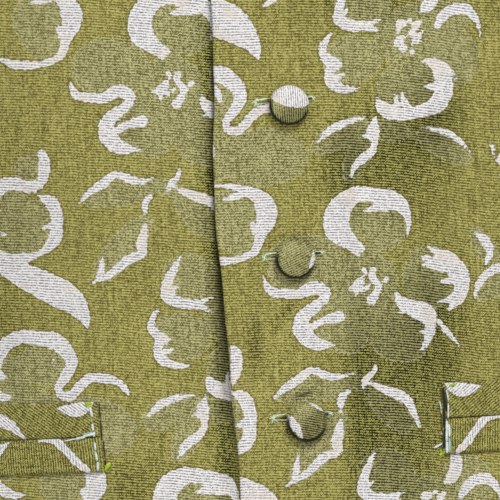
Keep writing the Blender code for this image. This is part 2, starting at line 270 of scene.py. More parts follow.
def steps_between(*stops):
    """Values from stop to stop, each stop a place and the spacing used from there to the next."""
    parts = [
        np.linspace(low, high, max(1, round((high - low) / spacing)), endpoint=False)
        for (low, spacing), (high, _) in zip(stops, stops[1:])
    ]
    return np.append(np.concatenate(parts), stops[-1][0])


# Rows by height and columns by share of the width, closest together where the pattern is seen near.
FRONT_LEVELS = steps_between(
    (HEM_POINT_HEIGHT, 0.0006), (-0.609, 0.0045), (-0.500, 0.00105), (-0.296, 0.0035), (UNDERARM, 1)
)
FRONT_SHARES = steps_between(
    (0.0, 0.0007), (0.0042, 0.0019), (0.008, 0.0038), (0.41, 0.0165), (0.985, 0.0025), (1.0, 1)
)
ARMHOLE_ROWS = 26
UPPER_ROWS = 46


def front_layout(edge_at):
    """Turn, height and arch of a front's points, and their places on the flat cloth in millimetres.

    Rows run from the hem up to the underarm and over the shoulder, columns from the edge to the side.
    The front edge's place across is given by height.
    The cloth's two measures are the arc round the ring and the way down the front.
    """
    side = SIDE_SEAM - SEAM_GAP / 2 / CHEST.back_depth
    rows = []
    for level in FRONT_LEVELS:
        start = turn_of(edge_at(level), ring_size(level, "half_width"))
        turn, run = ring_turns(start, side, level, FRONT_SHARES)
        share = (level - HEM_POINT_HEIGHT) / (UNDERARM - HEM_POINT_HEIGHT)
        hem = front_hem(turn)
        height = hem + (UNDERARM - hem) * share
        rows.append((turn, height, np.zeros_like(turn), run, -height))
    swing = np.linspace(0, math.pi / 2, ARMHOLE_ROWS + 1)[1:]
    low = arch_at_rise(ARMHOLE_TURN * (1 - np.cos(swing)))
    arches = np.append(low, np.linspace(low[-1], SEAM_ARCH, UPPER_ROWS + 1)[1:])
    rise_to_neck = shoulder_line(NECK_HALF_WIDTH) - UNDERARM
    fine = np.linspace(0, SEAM_ARCH, FINE_STEPS)
    setback = CHEST.front_depth * signed_power(np.cos(fine), 2 / SHOULDER_POWER)
    climb = lengths_along(np.column_stack([setback, rise_to_neck * arch_rise(fine)]))
    for arch in arches:
        rise = arch_rise(arch)
        level = UNDERARM + rise_to_neck * rise
        across, climbed = max(edge_at(level), neckline(level)), rise
        if arch > math.pi / 2:
            across, climbed = NECK_HALF_WIDTH, 1.0
        outer = armhole_turn(climbed, ARMHOLE_INSET, side)
        turn, run = ring_turns(turn_of(across, CHEST.half_width), outer, UNDERARM, FRONT_SHARES)
        down = np.full_like(turn, -UNDERARM - np.interp(arch, fine, climb))
        rows.append((turn, np.full_like(turn, UNDERARM), np.full_like(turn, arch), run, down))
    turn, height, arch, run, down = np.array(rows).transpose(1, 0, 2)
    return turn, height, arch, np.stack([run, down], axis=-1) * 1000


Fold = namedtuple("Fold", "across half_width depth top bottom")
Crease = namedtuple("Crease", "across height half_length half_width depth lean")
FOLD_FADE = 0.070
RIGHT_FRONT_FOLDS = (
    Fold(0.0145, 0.0048, -0.0021, -0.325, -0.600),
    Fold(0.0140, 0.0040, -0.0009, -0.190, -0.440),
    Fold(0.058, 0.016, 0.0012, -0.330, -0.590),
    Fold(0.100, 0.016, -0.0018, -0.300, -0.560),
    Fold(0.132, 0.014, 0.0022, -0.290, -0.540),
)
RIGHT_FRONT_CREASES = (
    Crease(0.020, -0.352, 0.030, 0.0050, -0.0004, 4),
    Crease(0.034, -0.400, 0.042, 0.0060, 0.0005, -6),
    Crease(0.047, -0.446, 0.030, 0.0050, -0.0005, 8),
    Crease(0.074, -0.372, 0.040, 0.0070, -0.0006, -5),
    Crease(0.064, -0.522, 0.034, 0.0060, 0.0006, 6),
    Crease(0.092, -0.430, 0.046, 0.0065, 0.0008, 3),
    Crease(0.120, -0.400, 0.050, 0.0070, -0.0024, -4),
    Crease(0.134, -0.436, 0.036, 0.0050, 0.0018, 6),
    Crease(0.030, -0.560, 0.030, 0.0060, 0.0014, -8),
    Crease(0.088, -0.552, 0.026, 0.0060, -0.0016, 10),
    Crease(0.106, -0.254, 0.050, 0.0075, -0.0028, 38),
    Crease(0.124, -0.236, 0.040, 0.0060, 0.0024, 44),
    Crease(0.080, -0.262, 0.030, 0.0050, 0.0012, 30),
    Crease(0.060, -0.170, 0.050, 0.0080, -0.0019, 20),
    Crease(0.092, -0.106, 0.044, 0.0070, 0.0020, -14),
)
# Soft patches where the ground is drawn darker with stronger dots, laid out as the creases are. The first
# two, strips under the left front's edge, go past 1: painted shadow of that edge.
RIGHT_FRONT_WEAR_AND_SHADE = (
    Crease(0.0172, -0.425, 0.150, 0.0040, 1.55, 0),
    Crease(0.0148, -0.330, 0.110, 0.0026, 1.10, 0),
    Crease(0.055, -0.487, 0.020, 0.0160, 0.45, 0),
    Crease(0.046, -0.352, 0.012, 0.0060, 0.30, 20),
    Crease(0.104, -0.410, 0.080, 0.0170, 0.45, -5),
    Crease(0.070, -0.560, 0.040, 0.0200, 0.35, 8),
    Crease(0.080, -0.230, 0.060, 0.0200, 0.30, 12),
)


def underlap_edge(height):
    """Place across of the underlap's edge, which is straight and upright."""
    return UNDERLAP_EDGE + 0 * height


def fold_push(points, folds):
    """How far the large folds push the cloth out: bells across, each fading at its top and bottom."""
    push = np.zeros(points.shape[:-1])
    for fold in folds:
        fade = smoothstep(fold.top, fold.top - FOLD_FADE, points[..., 2])
        fade = fade * smoothstep(fold.bottom, fold.bottom + FOLD_FADE, points[..., 2])
        push += fold.depth * bell(points[..., 0] - fold.across, fold.half_width) * fade
    return push


def crease_push(points, creases):
    """How far the small creases push the cloth out: a bell across each, and a bow along it."""
    push = np.zeros(points.shape[:-1])
    for crease in creases:
        lean = math.radians(crease.lean)
        right, up = points[..., 0] - crease.across, points[..., 2] - crease.height
        along = (right * math.sin(lean) + up * math.cos(lean)) / crease.half_length
        aside = bell(right * math.cos(lean) - up * math.sin(lean), crease.half_width)
        push += crease.depth * aside * np.maximum(1 - along**2, 0) ** 2
    return push


def wear_and_shade_spots(points, spots):
    """How much darker and more open the weave is drawn, up to 1, and painted shadow past it, near black:
    soft spots, laid out as the creases are.
    """
    return np.clip(crease_push(points, spots), 0, 2)


def right_front_surface(turn, height, arch):
    """Inner face of the right front, on its own side: the form with its folds and creases."""
    points = torso(turn, height, arch)
    push = fold_push(points, RIGHT_FRONT_FOLDS) + crease_push(points, RIGHT_FRONT_CREASES)
    return points + outward(points, height) * push[..., None]


EDGE_ROUND = 0.0016  # how far in from an edge the wall thins
EDGE_SHARE = 0.35  # of the wall, left at the edge


def face_normals(grid):
    """Unit normals of a grid of points: the cross product of its slopes along rows and columns."""
    normal = np.cross(np.gradient(grid, axis=1), np.gradient(grid, axis=0))
    return normal / np.linalg.norm(normal, axis=-1, keepdims=True)


def edge_distance(grid):
    """Distance of each point to the nearest of the grid's four edges, along its rows and columns."""
    nearest = []
    for axis in (0, 1):
        step = np.linalg.norm(np.diff(grid, axis=axis), axis=-1)
        pad = [(0, 0), (0, 0)]
        pad[axis] = (1, 0)
        run = np.cumsum(np.pad(step, pad), axis=axis)
        total = run.max(axis=axis, keepdims=True)
        nearest += [run, total - run]
    return np.minimum.reduce(nearest)


def thickened(inner, wall):
    """The outer face over an inner one: moved out by the wall, which rounds down at the edges."""
    near = np.clip(edge_distance(inner) / EDGE_ROUND, 0, 1)
    rounded = EDGE_SHARE + (1 - EDGE_SHARE) * np.sqrt(1 - (1 - near) ** 2)
    return inner + face_normals(inner) * (wall * rounded)[..., None]


def add_piece(name, points, faces, finish, replaced=(), attributes=()):
    """A mesh object on the body, with its values per point, the record's slot and the nodes it replaces."""
    mesh = bpy.data.meshes.new(name)
    mesh.from_pydata(points.tolist(), [], faces)
    mesh.shade_smooth()
    for title, values in attributes:
        kind, key = ("FLOAT", "value") if values.ndim == 1 else ("FLOAT_VECTOR", "vector")
        layer = mesh.attributes.new(title, kind, "POINT")
        layer.data.foreach_set(key, values.astype(np.float32).ravel())
    mesh.materials.append(finish)
    piece = bpy.data.objects.new(name, mesh)
    bpy.context.scene.collection.objects.link(piece)
    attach(piece, "root")
    if replaced:
        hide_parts(*replaced)
    return piece


def shell_faces(rows, columns, mirrored):
    """Faces of a closed sheet: its inner grid of points turned inwards, its outer one, and the rim."""
    inner = np.arange(rows * columns).reshape(rows, columns)
    outer = inner + rows * columns
    outside = np.stack([outer[:-1, :-1], outer[:-1, 1:], outer[1:, 1:], outer[1:, :-1]], axis=-1)
    inside = np.stack([inner[:-1, :-1], inner[1:, :-1], inner[1:, 1:], inner[:-1, 1:]], axis=-1)
    round_it = np.concatenate([inner[0, :-1], inner[:-1, -1], inner[-1, :0:-1], inner[:0:-1, 0]])
    ahead = np.roll(round_it, -1)
    rim = np.stack([round_it, ahead, ahead + rows * columns, round_it + rows * columns], axis=-1)
    faces = np.concatenate([outside.reshape(-1, 4), inside.reshape(-1, 4), rim])
    if mirrored:
        faces = faces[:, ::-1]
    return faces.tolist()


def sheet_piece(name, inner, outer, mirrored, finish, replaced, cloth, lean, flower, leaf, worn):
    """A closed sheet of cloth. The pattern is on its outer face, and its edge carries it round.

    The cloth's vector holds its two measures and, third, how far the ribs lean down there.
    """
    if mirrored:
        inner, outer = inner * (-1, 1, 1), outer * (-1, 1, 1)
    rim = np.zeros(inner.shape[:2], bool)
    rim[[0, -1], :] = rim[:, [0, -1]] = True
    plain = np.full(inner.shape[:2], PATTERN_REACH)
    values = [
        np.concatenate([np.where(rim, shown, plain).ravel(), shown.ravel()]) for shown in (flower, leaf)
    ]
    flat = np.dstack([cloth, lean]).reshape(-1, 3)
    return add_piece(
        name,
        np.concatenate([inner.reshape(-1, 3), outer.reshape(-1, 3)]),
        shell_faces(*inner.shape[:2], mirrored),
        finish,
        replaced,
        [
            ("cloth", np.concatenate([flat, flat])), ("flower", values[0]), ("leaf", values[1]),
            ("worn", np.tile(worn.ravel(), 2)),
        ],
    )


# The brocade's pattern, charted in millimetres: open blossoms drawn by a few curled white
# strokes over speckled sage petals, and sprigs of three leaves. A stroke's points are across, down and
# its width there; a petal's are its centre, half length, half width and turn in degrees.
REPEAT_ACROSS, REPEAT_DOWN = 140, 178
PATTERN_REACH = 4.0  # farthest distance that is worked out
STROKE_STEP = 0.4
Motif = namedtuple("Motif", "across down strokes petals")
BROCADE_MOTIFS = (
    Motif(52, 113, (
        ((-1, -13, 3), (-6, -16, 6), (-10, -21, 9), (-9, -28, 8.5), (-3, -33, 6.5), (4, -33, 5.5),
         (13, -30, 6), (17, -23, 2.5), (16, -16, 0.5)),
        ((12, -28, 3), (6, -28, 3), (1, -27, 0.5)),
        ((-9, -16, 3), (-5, -13, 2.5), (-2, -10, 0.5)),
        ((-38.2, -5, 0.5), (-36, 1, 3), (-30.5, 2.6, 3.6), (-25, 3, 3.6), (-20, 0.8, 4.8), (-15.6, 2.6, 4.2),
         (-15.6, 5.2, 3)),
        ((-15.6, 5.4, 3), (-19, 7.8, 4), (-24.3, 12, 5.4), (-24.4, 17.5, 6.4), (-19.8, 22, 5),
         (-12.5, 23, 0.6)),
        ((-21, 15.5, 2.6), (-17, 13.6, 2.6), (-13.5, 12.8, 4), (-11.3, 12.5, 4.4)),
        ((11, 4, 1), (13, 8, 4), (18, 11, 6.5), (22, 13, 7), (24, 18, 4), (22, 23, 3), (19, 27, 0.5)),
        ((17, 11, 3), (11, 12, 0.5)),
        ((23, 19, 2.5), (18, 20, 0.5)),
        ((24, -12, 1), (28, -10, 3), (33, -6, 7), (37, 0, 7), (36, 7, 5), (31, 12, 1)),
        ((21, -9, 1), (26, -7, 3), (33, -5, 5)),
        ((21, -6, 0.5), (26, -5, 3), (33, -4, 4)),
        ((28, 1, 0.5), (32, 1, 2.5), (37, 1, 3)),
        ((27, 9, 0.5), (32, 8, 2.5), (36, 6, 3)),
        ((26, 13, 0.5), (28, 17, 1.5), (31, 21, 2), (35, 26, 0.5)),
        ((3, -4.5, 2.6), (2.6, -2, 2.4), (4, 0, 2.4), (5, 1.5, 2.6), (4, 4, 2.4), (2, 6.5, 3.6),
         (1.6, 8, 1.5)),
        ((-7.2, 1.8, 0.8), (-4.8, 1.4, 2.6), (-2.6, 0.3, 4), (-1.5, -1.5, 1.6)),
        ((-4, 5, 0.8), (-4, 3, 2), (-3.4, 1.5, 3)), ((-0.7, 4, 1), (-1.7, 2.5, 2), (-2.6, 1, 3)),
        ((-0.4, -5, 2), (0, -2.8, 0.8)), ((7.7, -0.6, 2.2), (7.7, -0.5, 2.2)),
        ((0.9, 1.7, 1.8), (0.9, 1.8, 1.8)),
    ), (
        (5, -22, 12, 11, 0), (-22, -8, 15, 11.5, 5), (-10, 15, 12, 10, 60), (12, 18.5, 13, 12, 30),
        (25, -1, 11, 12, 0), (0, 0, 12, 12, 0),
    )),
    Motif(73, 21, (
        ((-20.8, -22, 0.5), (-23.5, -17, 2.8), (-26, -12, 3.6), (-26.2, -7.4, 4.8), (-22.5, -5, 4.6),
         (-18, -4.4, 3.8), (-14, -5.2, 2), (-9.7, -7.2, 0.5)),
        ((-18, -4.4, 3.4), (-14, -3.4, 2.4), (-10, -1.3, 0.5)), ((-25, -9.6, 2.6), (-22, -11, 0.5)),
        ((-29.5, -2.5, 0.5), (-32, 1, 2.3), (-33, 5, 2.9), (-30.4, 8.4, 3.8), (-28, 10, 3)),
        ((-29, 10, 2), (-26, 9, 0.5)),
        ((-29, 9, 4), (-31, 13, 3), (-30, 17, 3.5), (-25, 19, 3), (-19, 19, 0.5)),
        ((-28, 14, 2.5), (-25, 13, 0.5)),
        ((-13, 23, 1), (-11, 27, 5), (-6, 29, 5), (0, 29, 4.5), (5, 28, 5), (10, 26, 6.5), (13, 20, 7),
         (11, 13, 5), (7, 10, 2.5), (4, 10, 0.5)),
        ((-6, 22, 1), (-6, 27, 3)), ((-4, 21, 1), (-2, 27, 3.5)), ((5, 19, 0.5), (11, 20, 4)),
        ((7, 9, 1), (11, 10, 1.5), (15, 13, 2), (18, 17, 0.5)),
        ((5, -9, 1), (8, -11, 4.5), (10, -15, 5), (9, -20, 3), (5, -23, 0.5)),
        ((11, -3, 2), (13, -6, 3.5), (17, -9, 4), (23, -9, 4), (27, -4, 2), (28, 2, 0.5)),
        ((-4, -1.3, 1.4), (-3.5, -3.2, 1.8), (-2.8, -4.7, 3.2), (-1.3, -4.5, 2.2)),
        ((4.7, -5, 1.6), (3.1, -3.9, 3), (2.4, -2.6, 1.8)), ((1, -1, 2.6), (1.6, -0.9, 2.2)),
        ((5.3, -1.3, 1), (3.3, 0.3, 2.4), (2.6, 1.8, 2.8), (1.6, 3, 1.2)), ((2.8, 1.4, 2.4), (4.5, 2.1, 1)),
        ((-5, 4.2, 1.2), (-4.6, 2.5, 1.8), (-3.1, 0.9, 2.6), (-1.8, 0.7, 1.5)),
        ((-2.4, 3.4, 2), (-2.2, 4.7, 3)), ((1, 6, 2), (1, 6.2, 2)), ((1, -5.8, 1.8), (1, -4.6, 0.6)),
    ), (
        (-17, -13, 11, 10, 20), (-22, 8, 11, 9, 0), (0, 19, 13, 10, 0), (14, -9, 11, 10, 30),
        (17, 9, 10, 11, 0), (0, 0, 13, 12, 0),
    )),
    Motif(-6, 62, (
        ((2, -30, 5), (8, -30, 6.5), (13, -26, 6), (15, -21, 4.5), (12, -16, 4), (9, -12, 3), (10, -9, 3),
         (14, -9, 3.5), (18, -13, 3.5), (22, -16, 3.5), (27.5, -16, 3.5), (32, -15, 2.8), (35.2, -11.8, 2),
         (36.2, -10, 0.5)),
        ((5.4, -25, 2), (6.4, -22.4, 2.8), (7.2, -19.8, 1.2)),
        ((3, 12, 1), (9, 12, 2), (15, 14, 3.5), (20, 17, 6), (22, 21, 8), (22, 25, 7.5), (20, 30, 4.5),
         (19, 33, 3.5), (17, 37, 3), (13, 39, 2.5), (8, 40, 2.5), (3, 40, 3.5)),
        ((6, 17, 0.5), (11, 16, 2.5), (15, 15, 3)),
        ((17, 27, 2.5), (17, 31, 0.5)),
        ((2, -30, 5), (-6, -31, 5), (-14, -27, 6), (-19, -20, 7), (-20, -13, 5), (-15, -8, 3),
         (-10, -8, 0.5)),
        ((-16, -17, 3), (-11, -15, 0.5)),
        ((-31, 1, 0.5), (-28, 6, 4), (-23, 10, 6), (-24, 17, 6), (-20, 25, 5), (-12, 29, 3), (-7, 29, 0.5)),
        ((-22, 11, 3), (-15, 10, 0.5)),
        ((3, 40, 3.5), (-3, 39, 3), (-9, 36, 0.5)),
        ((-3, -4, 4), (-2, -2, 3)), ((3, -3, 3), (3, 0, 3)), ((-2, 4, 3), (1, 5, 2.5)),
    ), (
        (5, -21, 11, 9, 0), (-13, -15, 11, 9, 50), (-17, 13, 11, 11, 0), (10, 26, 13, 10, 60),
        (21.5, 2, 17, 11, 0), (0, 0, 11, 11, 0),
    )),
    Motif(-8, 160, (
        ((8, -26, 0.5), (10, -23, 4), (10, -18, 4.5), (9, -14, 3), (8, -11, 0.5)),
        ((8, -8, 1), (12, -6, 5), (14, -1, 5), (14, 4, 5), (13, 9, 5.5), (10, 13, 4), (8, 15, 0.5)),
        ((13, 3, 2.5), (10, 4, 2), (8, 5, 0.5)),
        ((8, -8, 1), (3, -12, 4), (-5, -14, 5), (-12, -10, 6), (-14, -2, 5), (-11, 5, 3), (-6, 7, 0.5)),
        ((-14, -3, 2.5), (-9, -4, 0.5)),
        ((-16, 10, 0.5), (-12, 15, 4), (-5, 18, 5), (2, 17, 4), (8, 15, 0.5)),
        ((-2, -1, 3), (-2, 2, 2)), ((2, 0, 3), (3, 3, 2)),
    ), (
        (5, -19, 7, 6, 0), (5, 3, 11, 9, 80), (-7, -2, 10, 11, 0), (-3, 12, 11, 7, 0),
    )),
    Motif(51, 150, (
        ((-36, 5, 0.5), (-31, 1, 2.5), (-26, -2, 3.5), (-21, -5, 2.5), (-16, -3, 3), (-12, -2, 2.3),
         (-6, -3, 0.5)),
        ((3, -6, 0.8), (2, -3, 2), (-1, 0, 2.3), (-2, 3, 0.5)),
        ((0, 0.8, 1), (5, 3.2, 2.8), (9.5, 5.2, 3.8), (14, 7.8, 3.6), (16.3, 12.5, 2.6), (18.8, 20, 0.5)),
        ((-7, 3, 0.5), (-10, 5, 2.5), (-11, 8, 2.3), (-11, 12, 0.5)),
        ((-11, 13, 0.5), (-12, 18, 3), (-13, 22, 4), (-13, 26, 3), (-18, 28, 3.5), (-24, 33, 2.8),
         (-29, 36, 1.8), (-33, 38, 0.5)),
        ((-28, 26, 0.5), (-28, 29, 1.8), (-29, 34, 2.5), (-30, 37, 1)),
    ), (
        (-20, 2, 15, 5, -8), (8, 12, 11, 5, 48), (-20, 24, 16, 6, -50), (-2, 1, 8, 3, 20),
    )),
    Motif(59, 52, (
        ((-22, 7, 0.8), (-18, 3.4, 2.6), (-13, 0.8, 2.5), (-8, -0.4, 1.6), (-3.6, -1.2, 0.6)),
        ((-0.2, -1.2, 0.5), (-0.8, 1.8, 3), (-1.2, 4.4, 4.6), (-0.8, 8, 2.4), (-1.6, 11, 2.6), (-5, 14, 3.4),
         (-9, 17, 2.8), (-11.4, 21.6, 0.5)),
        ((-1.6, 5, 3), (-5.2, 6, 0.5)),
        ((19, 4, 1), (24, 5, 2), (29, 7, 2.5), (34, 11, 1.5), (37, 16, 0.5)),
    ), (
        (-14, 5, 12, 5, -25), (-7, 12, 12, 5, -60), (26, 11, 12, 5, 30), (4, 4, 9, 4, 10),
    )),
    Motif(6, 16, (
        ((-32, -17, 0.5), (-25, -14, 6), (-15, -9, 10), (-5, -4.2, 12), (3, -0.4, 10.8), (8, 5, 6.4),
         (10.4, 11, 0.5)),
    ), ()),
    Motif(104, 108, (
        ((-10, 14, 0.5), (-8, 8, 2.5), (-3, 3, 3), (4, 1, 3), (9, -3, 0.5)),
        ((-9, -12, 0.5), (-5, -9, 3.5), (-3, -4, 3), (-5, 1, 0.5)),
        ((2, 8, 0.5), (7, 9, 3), (11, 14, 3.5), (12, 20, 0.5)),
    ), (
        (-5, -6, 9, 4, 60), (7, 12, 10, 5, 50), (-2, 8, 9, 4, -40),
    )),
)


def stroke_samples(stroke):
    """Centres and radii of the discs that draw a stroke, close together on a smooth curve.

    The curve is a cardinal spline: between two points it is a cubic with slopes taken from the
    points on either side of each.
    """
    table = np.array(stroke, float)
    slopes = np.gradient(table, axis=0)
    spans = np.linalg.norm(np.diff(table[:, :2], axis=0), axis=1)
    parts = []
    for k, span in enumerate(spans):
        t = np.linspace(0, 1, max(2, int(span / STROKE_STEP) + 1))[:, None]
        parts.append(cubic(t, table[k], slopes[k], table[k + 1], slopes[k + 1]))
    samples = np.concatenate(parts)
    return samples[:, :2], np.maximum(samples[:, 2], 0.1) / 2


def distance_to_strokes(local, strokes, nearest):
    """Lowers nearest to the distance from each point to the strokes' outlines, below zero inside."""
    for stroke in strokes:
        centres, radii = stroke_samples(stroke)
        margin = radii.max() + PATTERN_REACH
        near = np.all((local > centres.min(0) - margin) & (local < centres.max(0) + margin), axis=1)
        here = local[near]
        if not len(here):
            continue
        best = np.full(len(here), PATTERN_REACH)
        for centre, radius in zip(centres, radii):
            best = np.minimum(best, np.hypot(*(here - centre).T) - radius)
        nearest[near] = np.minimum(nearest[near], best)


def distance_to_petals(local, petals, nearest):
    """Lowers nearest to the rough distance from each point to the petals' ellipses."""
    for across, down, half_length, half_width, turned in petals:
        angle = math.radians(turned)
        right, low = local[:, 0] - across, local[:, 1] - down
        along = (right * math.cos(angle) + low * math.sin(angle)) / half_length
        aside = (low * math.cos(angle) - right * math.sin(angle)) / half_width
        away = (np.hypot(along, aside) - 1) * min(half_length, half_width)
        nearest[:] = np.minimum(nearest, away)


def brocade_pattern(places):
    """Distances to the white strokes and the sage petals, at places on the flat cloth."""
    flat = places.reshape(-1, 2)
    flower, leaf = np.full(len(flat), PATTERN_REACH), np.full(len(flat), PATTERN_REACH)
    repeat = np.array([REPEAT_ACROSS, REPEAT_DOWN], float)
    for motif in BROCADE_MOTIFS:
        local = flat - (motif.across, motif.down)
        local = (local + repeat / 2) % repeat - repeat / 2
        distance_to_strokes(local, motif.strokes, flower)
        distance_to_petals(local, motif.petals, leaf)
    shape = places.shape[:-1]
    return flower.reshape(shape), leaf.reshape(shape)


class Wire:
    """One value in a material's nodes. Arithmetic on it adds Math nodes; node() adds any other."""

    def __init__(self, tree, socket=None):
        self.tree, self.socket = tree, socket

    def node(self, kind, sockets, output=0, **settings):
        """Adds a node: its settings first, then its sockets' values or links; gives back one output."""
        made = self.tree.nodes.new(kind)
        for title, value in settings.items():
            setattr(made, title, value)
        for title, value in sockets.items():
            if isinstance(value, Wire):
                self.tree.links.new(value.socket, made.inputs[title])
            else:
                made.inputs[title].default_value = value
        return Wire(self.tree, made.outputs[output])

    def maths(self, operation, *values):
        return self.node("ShaderNodeMath", dict(enumerate(values)), operation=operation)

    def __add__(self, other):
        return self.maths("ADD", self, other)

    __radd__ = __add__

    def __mul__(self, other):
        return self.maths("MULTIPLY", self, other)

    __rmul__ = __mul__

    def __sub__(self, other):
        return self.maths("SUBTRACT", self, other)

    def __rsub__(self, other):
        return self.maths("SUBTRACT", other, self)

    def __truediv__(self, other):
        return self.maths("DIVIDE", self, other)

    def floor(self):
        return self.maths("FLOOR", self)

    def sine(self):
        return self.maths("SINE", self)

    def between(self, low, high):
        """0 at low, 1 at high, and a smooth rise between."""
        sockets = {"Value": self, "From Min": low, "From Max": high}
        return self.node("ShaderNodeMapRange", sockets, interpolation_type="SMOOTHSTEP")

    def blend(self, first, second):
        """A colour from first, where this value is 0, to second, where it is 1."""
        return self.node("ShaderNodeMix", {0: self, 6: first, 7: second}, 2, data_type="RGBA")

    def shaded(self, shade):
        """This colour, made darker or lighter by a number."""
        grey = self.node("ShaderNodeCombineColor", {0: shade, 1: shade, 2: shade})
        sockets = {0: 1.0, 6: self, 7: grey}
        return self.node("ShaderNodeMix", sockets, 2, data_type="RGBA", blend_type="MULTIPLY")

    def attribute(self, title, output=2):
        """The piece's own values of that name, as a number, or as a colour or vector."""
        return self.node("ShaderNodeAttribute", {}, output, attribute_name=title)

    def measures(self):
        """The three parts of a vector."""
        return [self.node("ShaderNodeSeparateXYZ", {0: self}, part) for part in range(3)]


def colour(red, green, blue):
    """A colour given as a screen shows it, from 0 to 255, as linear light."""
    shown = np.array([red, green, blue]) / 255
    linear = np.where(shown > 0.04045, ((shown + 0.055) / 1.055) ** 2.4, shown / 12.92)
    return (*linear.tolist(), 1.0)


RIB = 1.02  # millimetres from one weft rib to the next
THREAD = 0.42  # from one warp thread to the next
SILK_SHEEN = 0.12


def new_finish(name, sheen):
    """An empty cloth material, its shader, and a wire to start its nodes from."""
    finish = bpy.data.materials.new(name)
    finish.use_nodes = True
    shader = finish.node_tree.nodes["Principled BSDF"]
    shader.inputs["Sheen Weight"].default_value = sheen
    shader.inputs["Sheen Roughness"].default_value = 0.45
    shader.inputs["Sheen Tint"].default_value = (0.9, 0.84, 0.6, 1)
    shader.inputs["Specular IOR Level"].default_value = 0.22
    return finish, shader, Wire(finish.node_tree)


def finish_with(shader, base, roughness, relief, depth, strength):
    """Links colour, roughness and a bump, whose depth is in metres, to the shader."""
    bump = relief.node("ShaderNodeBump", {"Height": relief, "Distance": depth, "Strength": strength})
    for title, wire in (("Base Color", base), ("Roughness", roughness), ("Normal", bump)):
        wire.tree.links.new(wire.socket, shader.inputs[title])


def brocade_finish(name):
    """Ribbed silk: olive ground, greyer sage petals, and white strokes stepped along the ribs.

    The ribs are a sine of the way down, and the dots between them one that changes sign from each
    warp thread to the next, so that they stand staggered. Where the wear-and-shade value rises to 1 the
    dots show more and the ground is darker; from 1 to 2 the colour goes to near black, painted shadow
    under the buttons, along the left front's edge and in one crease.
    """
    finish, shader, start = new_finish(name, SILK_SHEEN)
    cloth = start.attribute("cloth", output=1)
    across, down, lean = cloth.measures()
    flower, leaf, worn = (start.attribute(title) for title in ("flower", "leaf", "worn"))

    def noise(stretch, scale, detail):
        """Smooth noise about a half, over the cloth stretched by those factors."""
        place = start.node("ShaderNodeVectorMath", {0: cloth, 1: stretch}, operation="MULTIPLY")
        return start.node("ShaderNodeTexNoise", {"Vector": place, "Scale": scale, "Detail": detail})

    def scattered(right, low):
        """An even random value for each cell of the weave."""
        cell = start.node("ShaderNodeCombineXYZ", {0: right.floor(), 1: low.floor()})
        return start.node("ShaderNodeTexWhiteNoise", {"Vector": cell}, noise_dimensions="2D")

    wander = (noise((1, 1, 0), 0.12, 1.0) - 0.5) * 0.9
    rib_place = (down - lean + wander) / RIB
    rib = (rib_place * (2 * math.pi)).sine()
    brick = (across * (math.pi / THREAD)).sine() * rib
    strand = start.node("ShaderNodeCombineXYZ", {0: across * 0.55, 1: rib_place.floor() * 3.7})
    dash = start.node("ShaderNodeTexNoise", {"Vector": strand, "Scale": 1.0, "Detail": 2.0}) - 0.5
    speck = scattered(across / THREAD, rib_place * 2 + 0.25) - 0.5
    pick = scattered(across / (THREAD * 3), rib_place * 2 + 0.25) - 0.5
    slub = noise((0.10, 1.6, 0), 1.0, 2.0) - 0.5
    streak = noise((1.3, 0.05, 0), 1.0, 2.0) - 0.5
    cloudy = noise((1, 1, 0), 0.055, 2.0) - 0.5
    blush = noise((1, 1, 0), 0.07, 1.0).between(0.52, 0.72)

    white = 1 - (flower + pick * 0.65).between(-0.12, 0.12)
    sage = 1 - (leaf + (noise((1, 1, 0), 0.4, 1.0) - 0.5) * 1.6).between(-0.5, 0.5)
    petal_line = (1 - leaf.maths("ABSOLUTE", leaf).between(0.1, 0.5)) * speck.between(-0.2, 0.1)

    tone = rib * (dash * (0.75 - worn * 0.35) + worn * 0.34 + 0.21) + brick * (worn * 0.40 + 0.16)
    tone = tone + speck * (worn * 0.42 + 0.54) + streak * (worn * 0.5 + 0.6) + (0.46 - worn * 0.13)
    dark = worn.blend(colour(86, 78, 14), colour(12, 12, 0))
    light = worn.blend(colour(203, 196, 116), colour(174, 170, 88))
    olive = tone.between(0.0, 1.0).blend(dark, light)
    beside = (1 - flower.between(0.1, 0.9)) * 0.60
    olive = beside.blend(olive, colour(94, 80, 20))
    tone = rib * (dash * 0.6 + worn * 0.24 + 0.22) + brick * 0.20 + speck * 0.66 + streak * 0.6 + 0.46
    dark = worn.blend(colour(92, 87, 34), colour(16, 14, 2))
    light = worn.blend(colour(206, 202, 148), colour(166, 162, 104))
    pale = tone.between(0.0, 1.0).blend(dark, light)
    pale = (petal_line * 0.60).blend(pale, colour(214, 210, 172))
    thread = (rib * (dash * 0.8 + 0.36) + brick * 0.10 + speck * 0.60 + 0.5).between(-0.12, 0.78)
    ivory = thread.blend(colour(126, 122, 132), colour(250, 247, 244))
    ivory = (blush * 0.40).blend(ivory, colour(236, 218, 198))
    outline = flower.between(-0.8, -0.1) * 0.45
    ivory = outline.blend(ivory, colour(246, 243, 240))
    woven = white.blend((sage * 0.85).blend(olive, pale), ivory)
    # Painted shadow: past 1 the wear-and-shade value takes the cloth to near black, under the buttons' lower
    # rims, in the strips under the left front's edge and in the crease above the fifth button.
    woven = (worn.between(1.0, 2.0) * 0.95).blend(woven, colour(16, 14, 3))
    shade = slub * 0.16 + cloudy * 0.12 + 1.0
    roughness = 0.80 - white * 0.12 - rib * 0.03
    relief = rib * (0.40 - sage * 0.15) + brick * 0.25 + speck * 0.25 + white * 0.5
    finish_with(shader, woven.shaded(shade), roughness, relief, 0.00016, 0.8)
    return finish


brocade = brocade_finish("brocade")
# The pattern's place on each front, as the picture has it: cloth measures at its origin.
PATTERN_TOP = 301.5
LEFT_PATTERN = np.array([14.0, -PATTERN_TOP])
RIGHT_PATTERN = np.array([83.1, 77.6 - PATTERN_TOP])
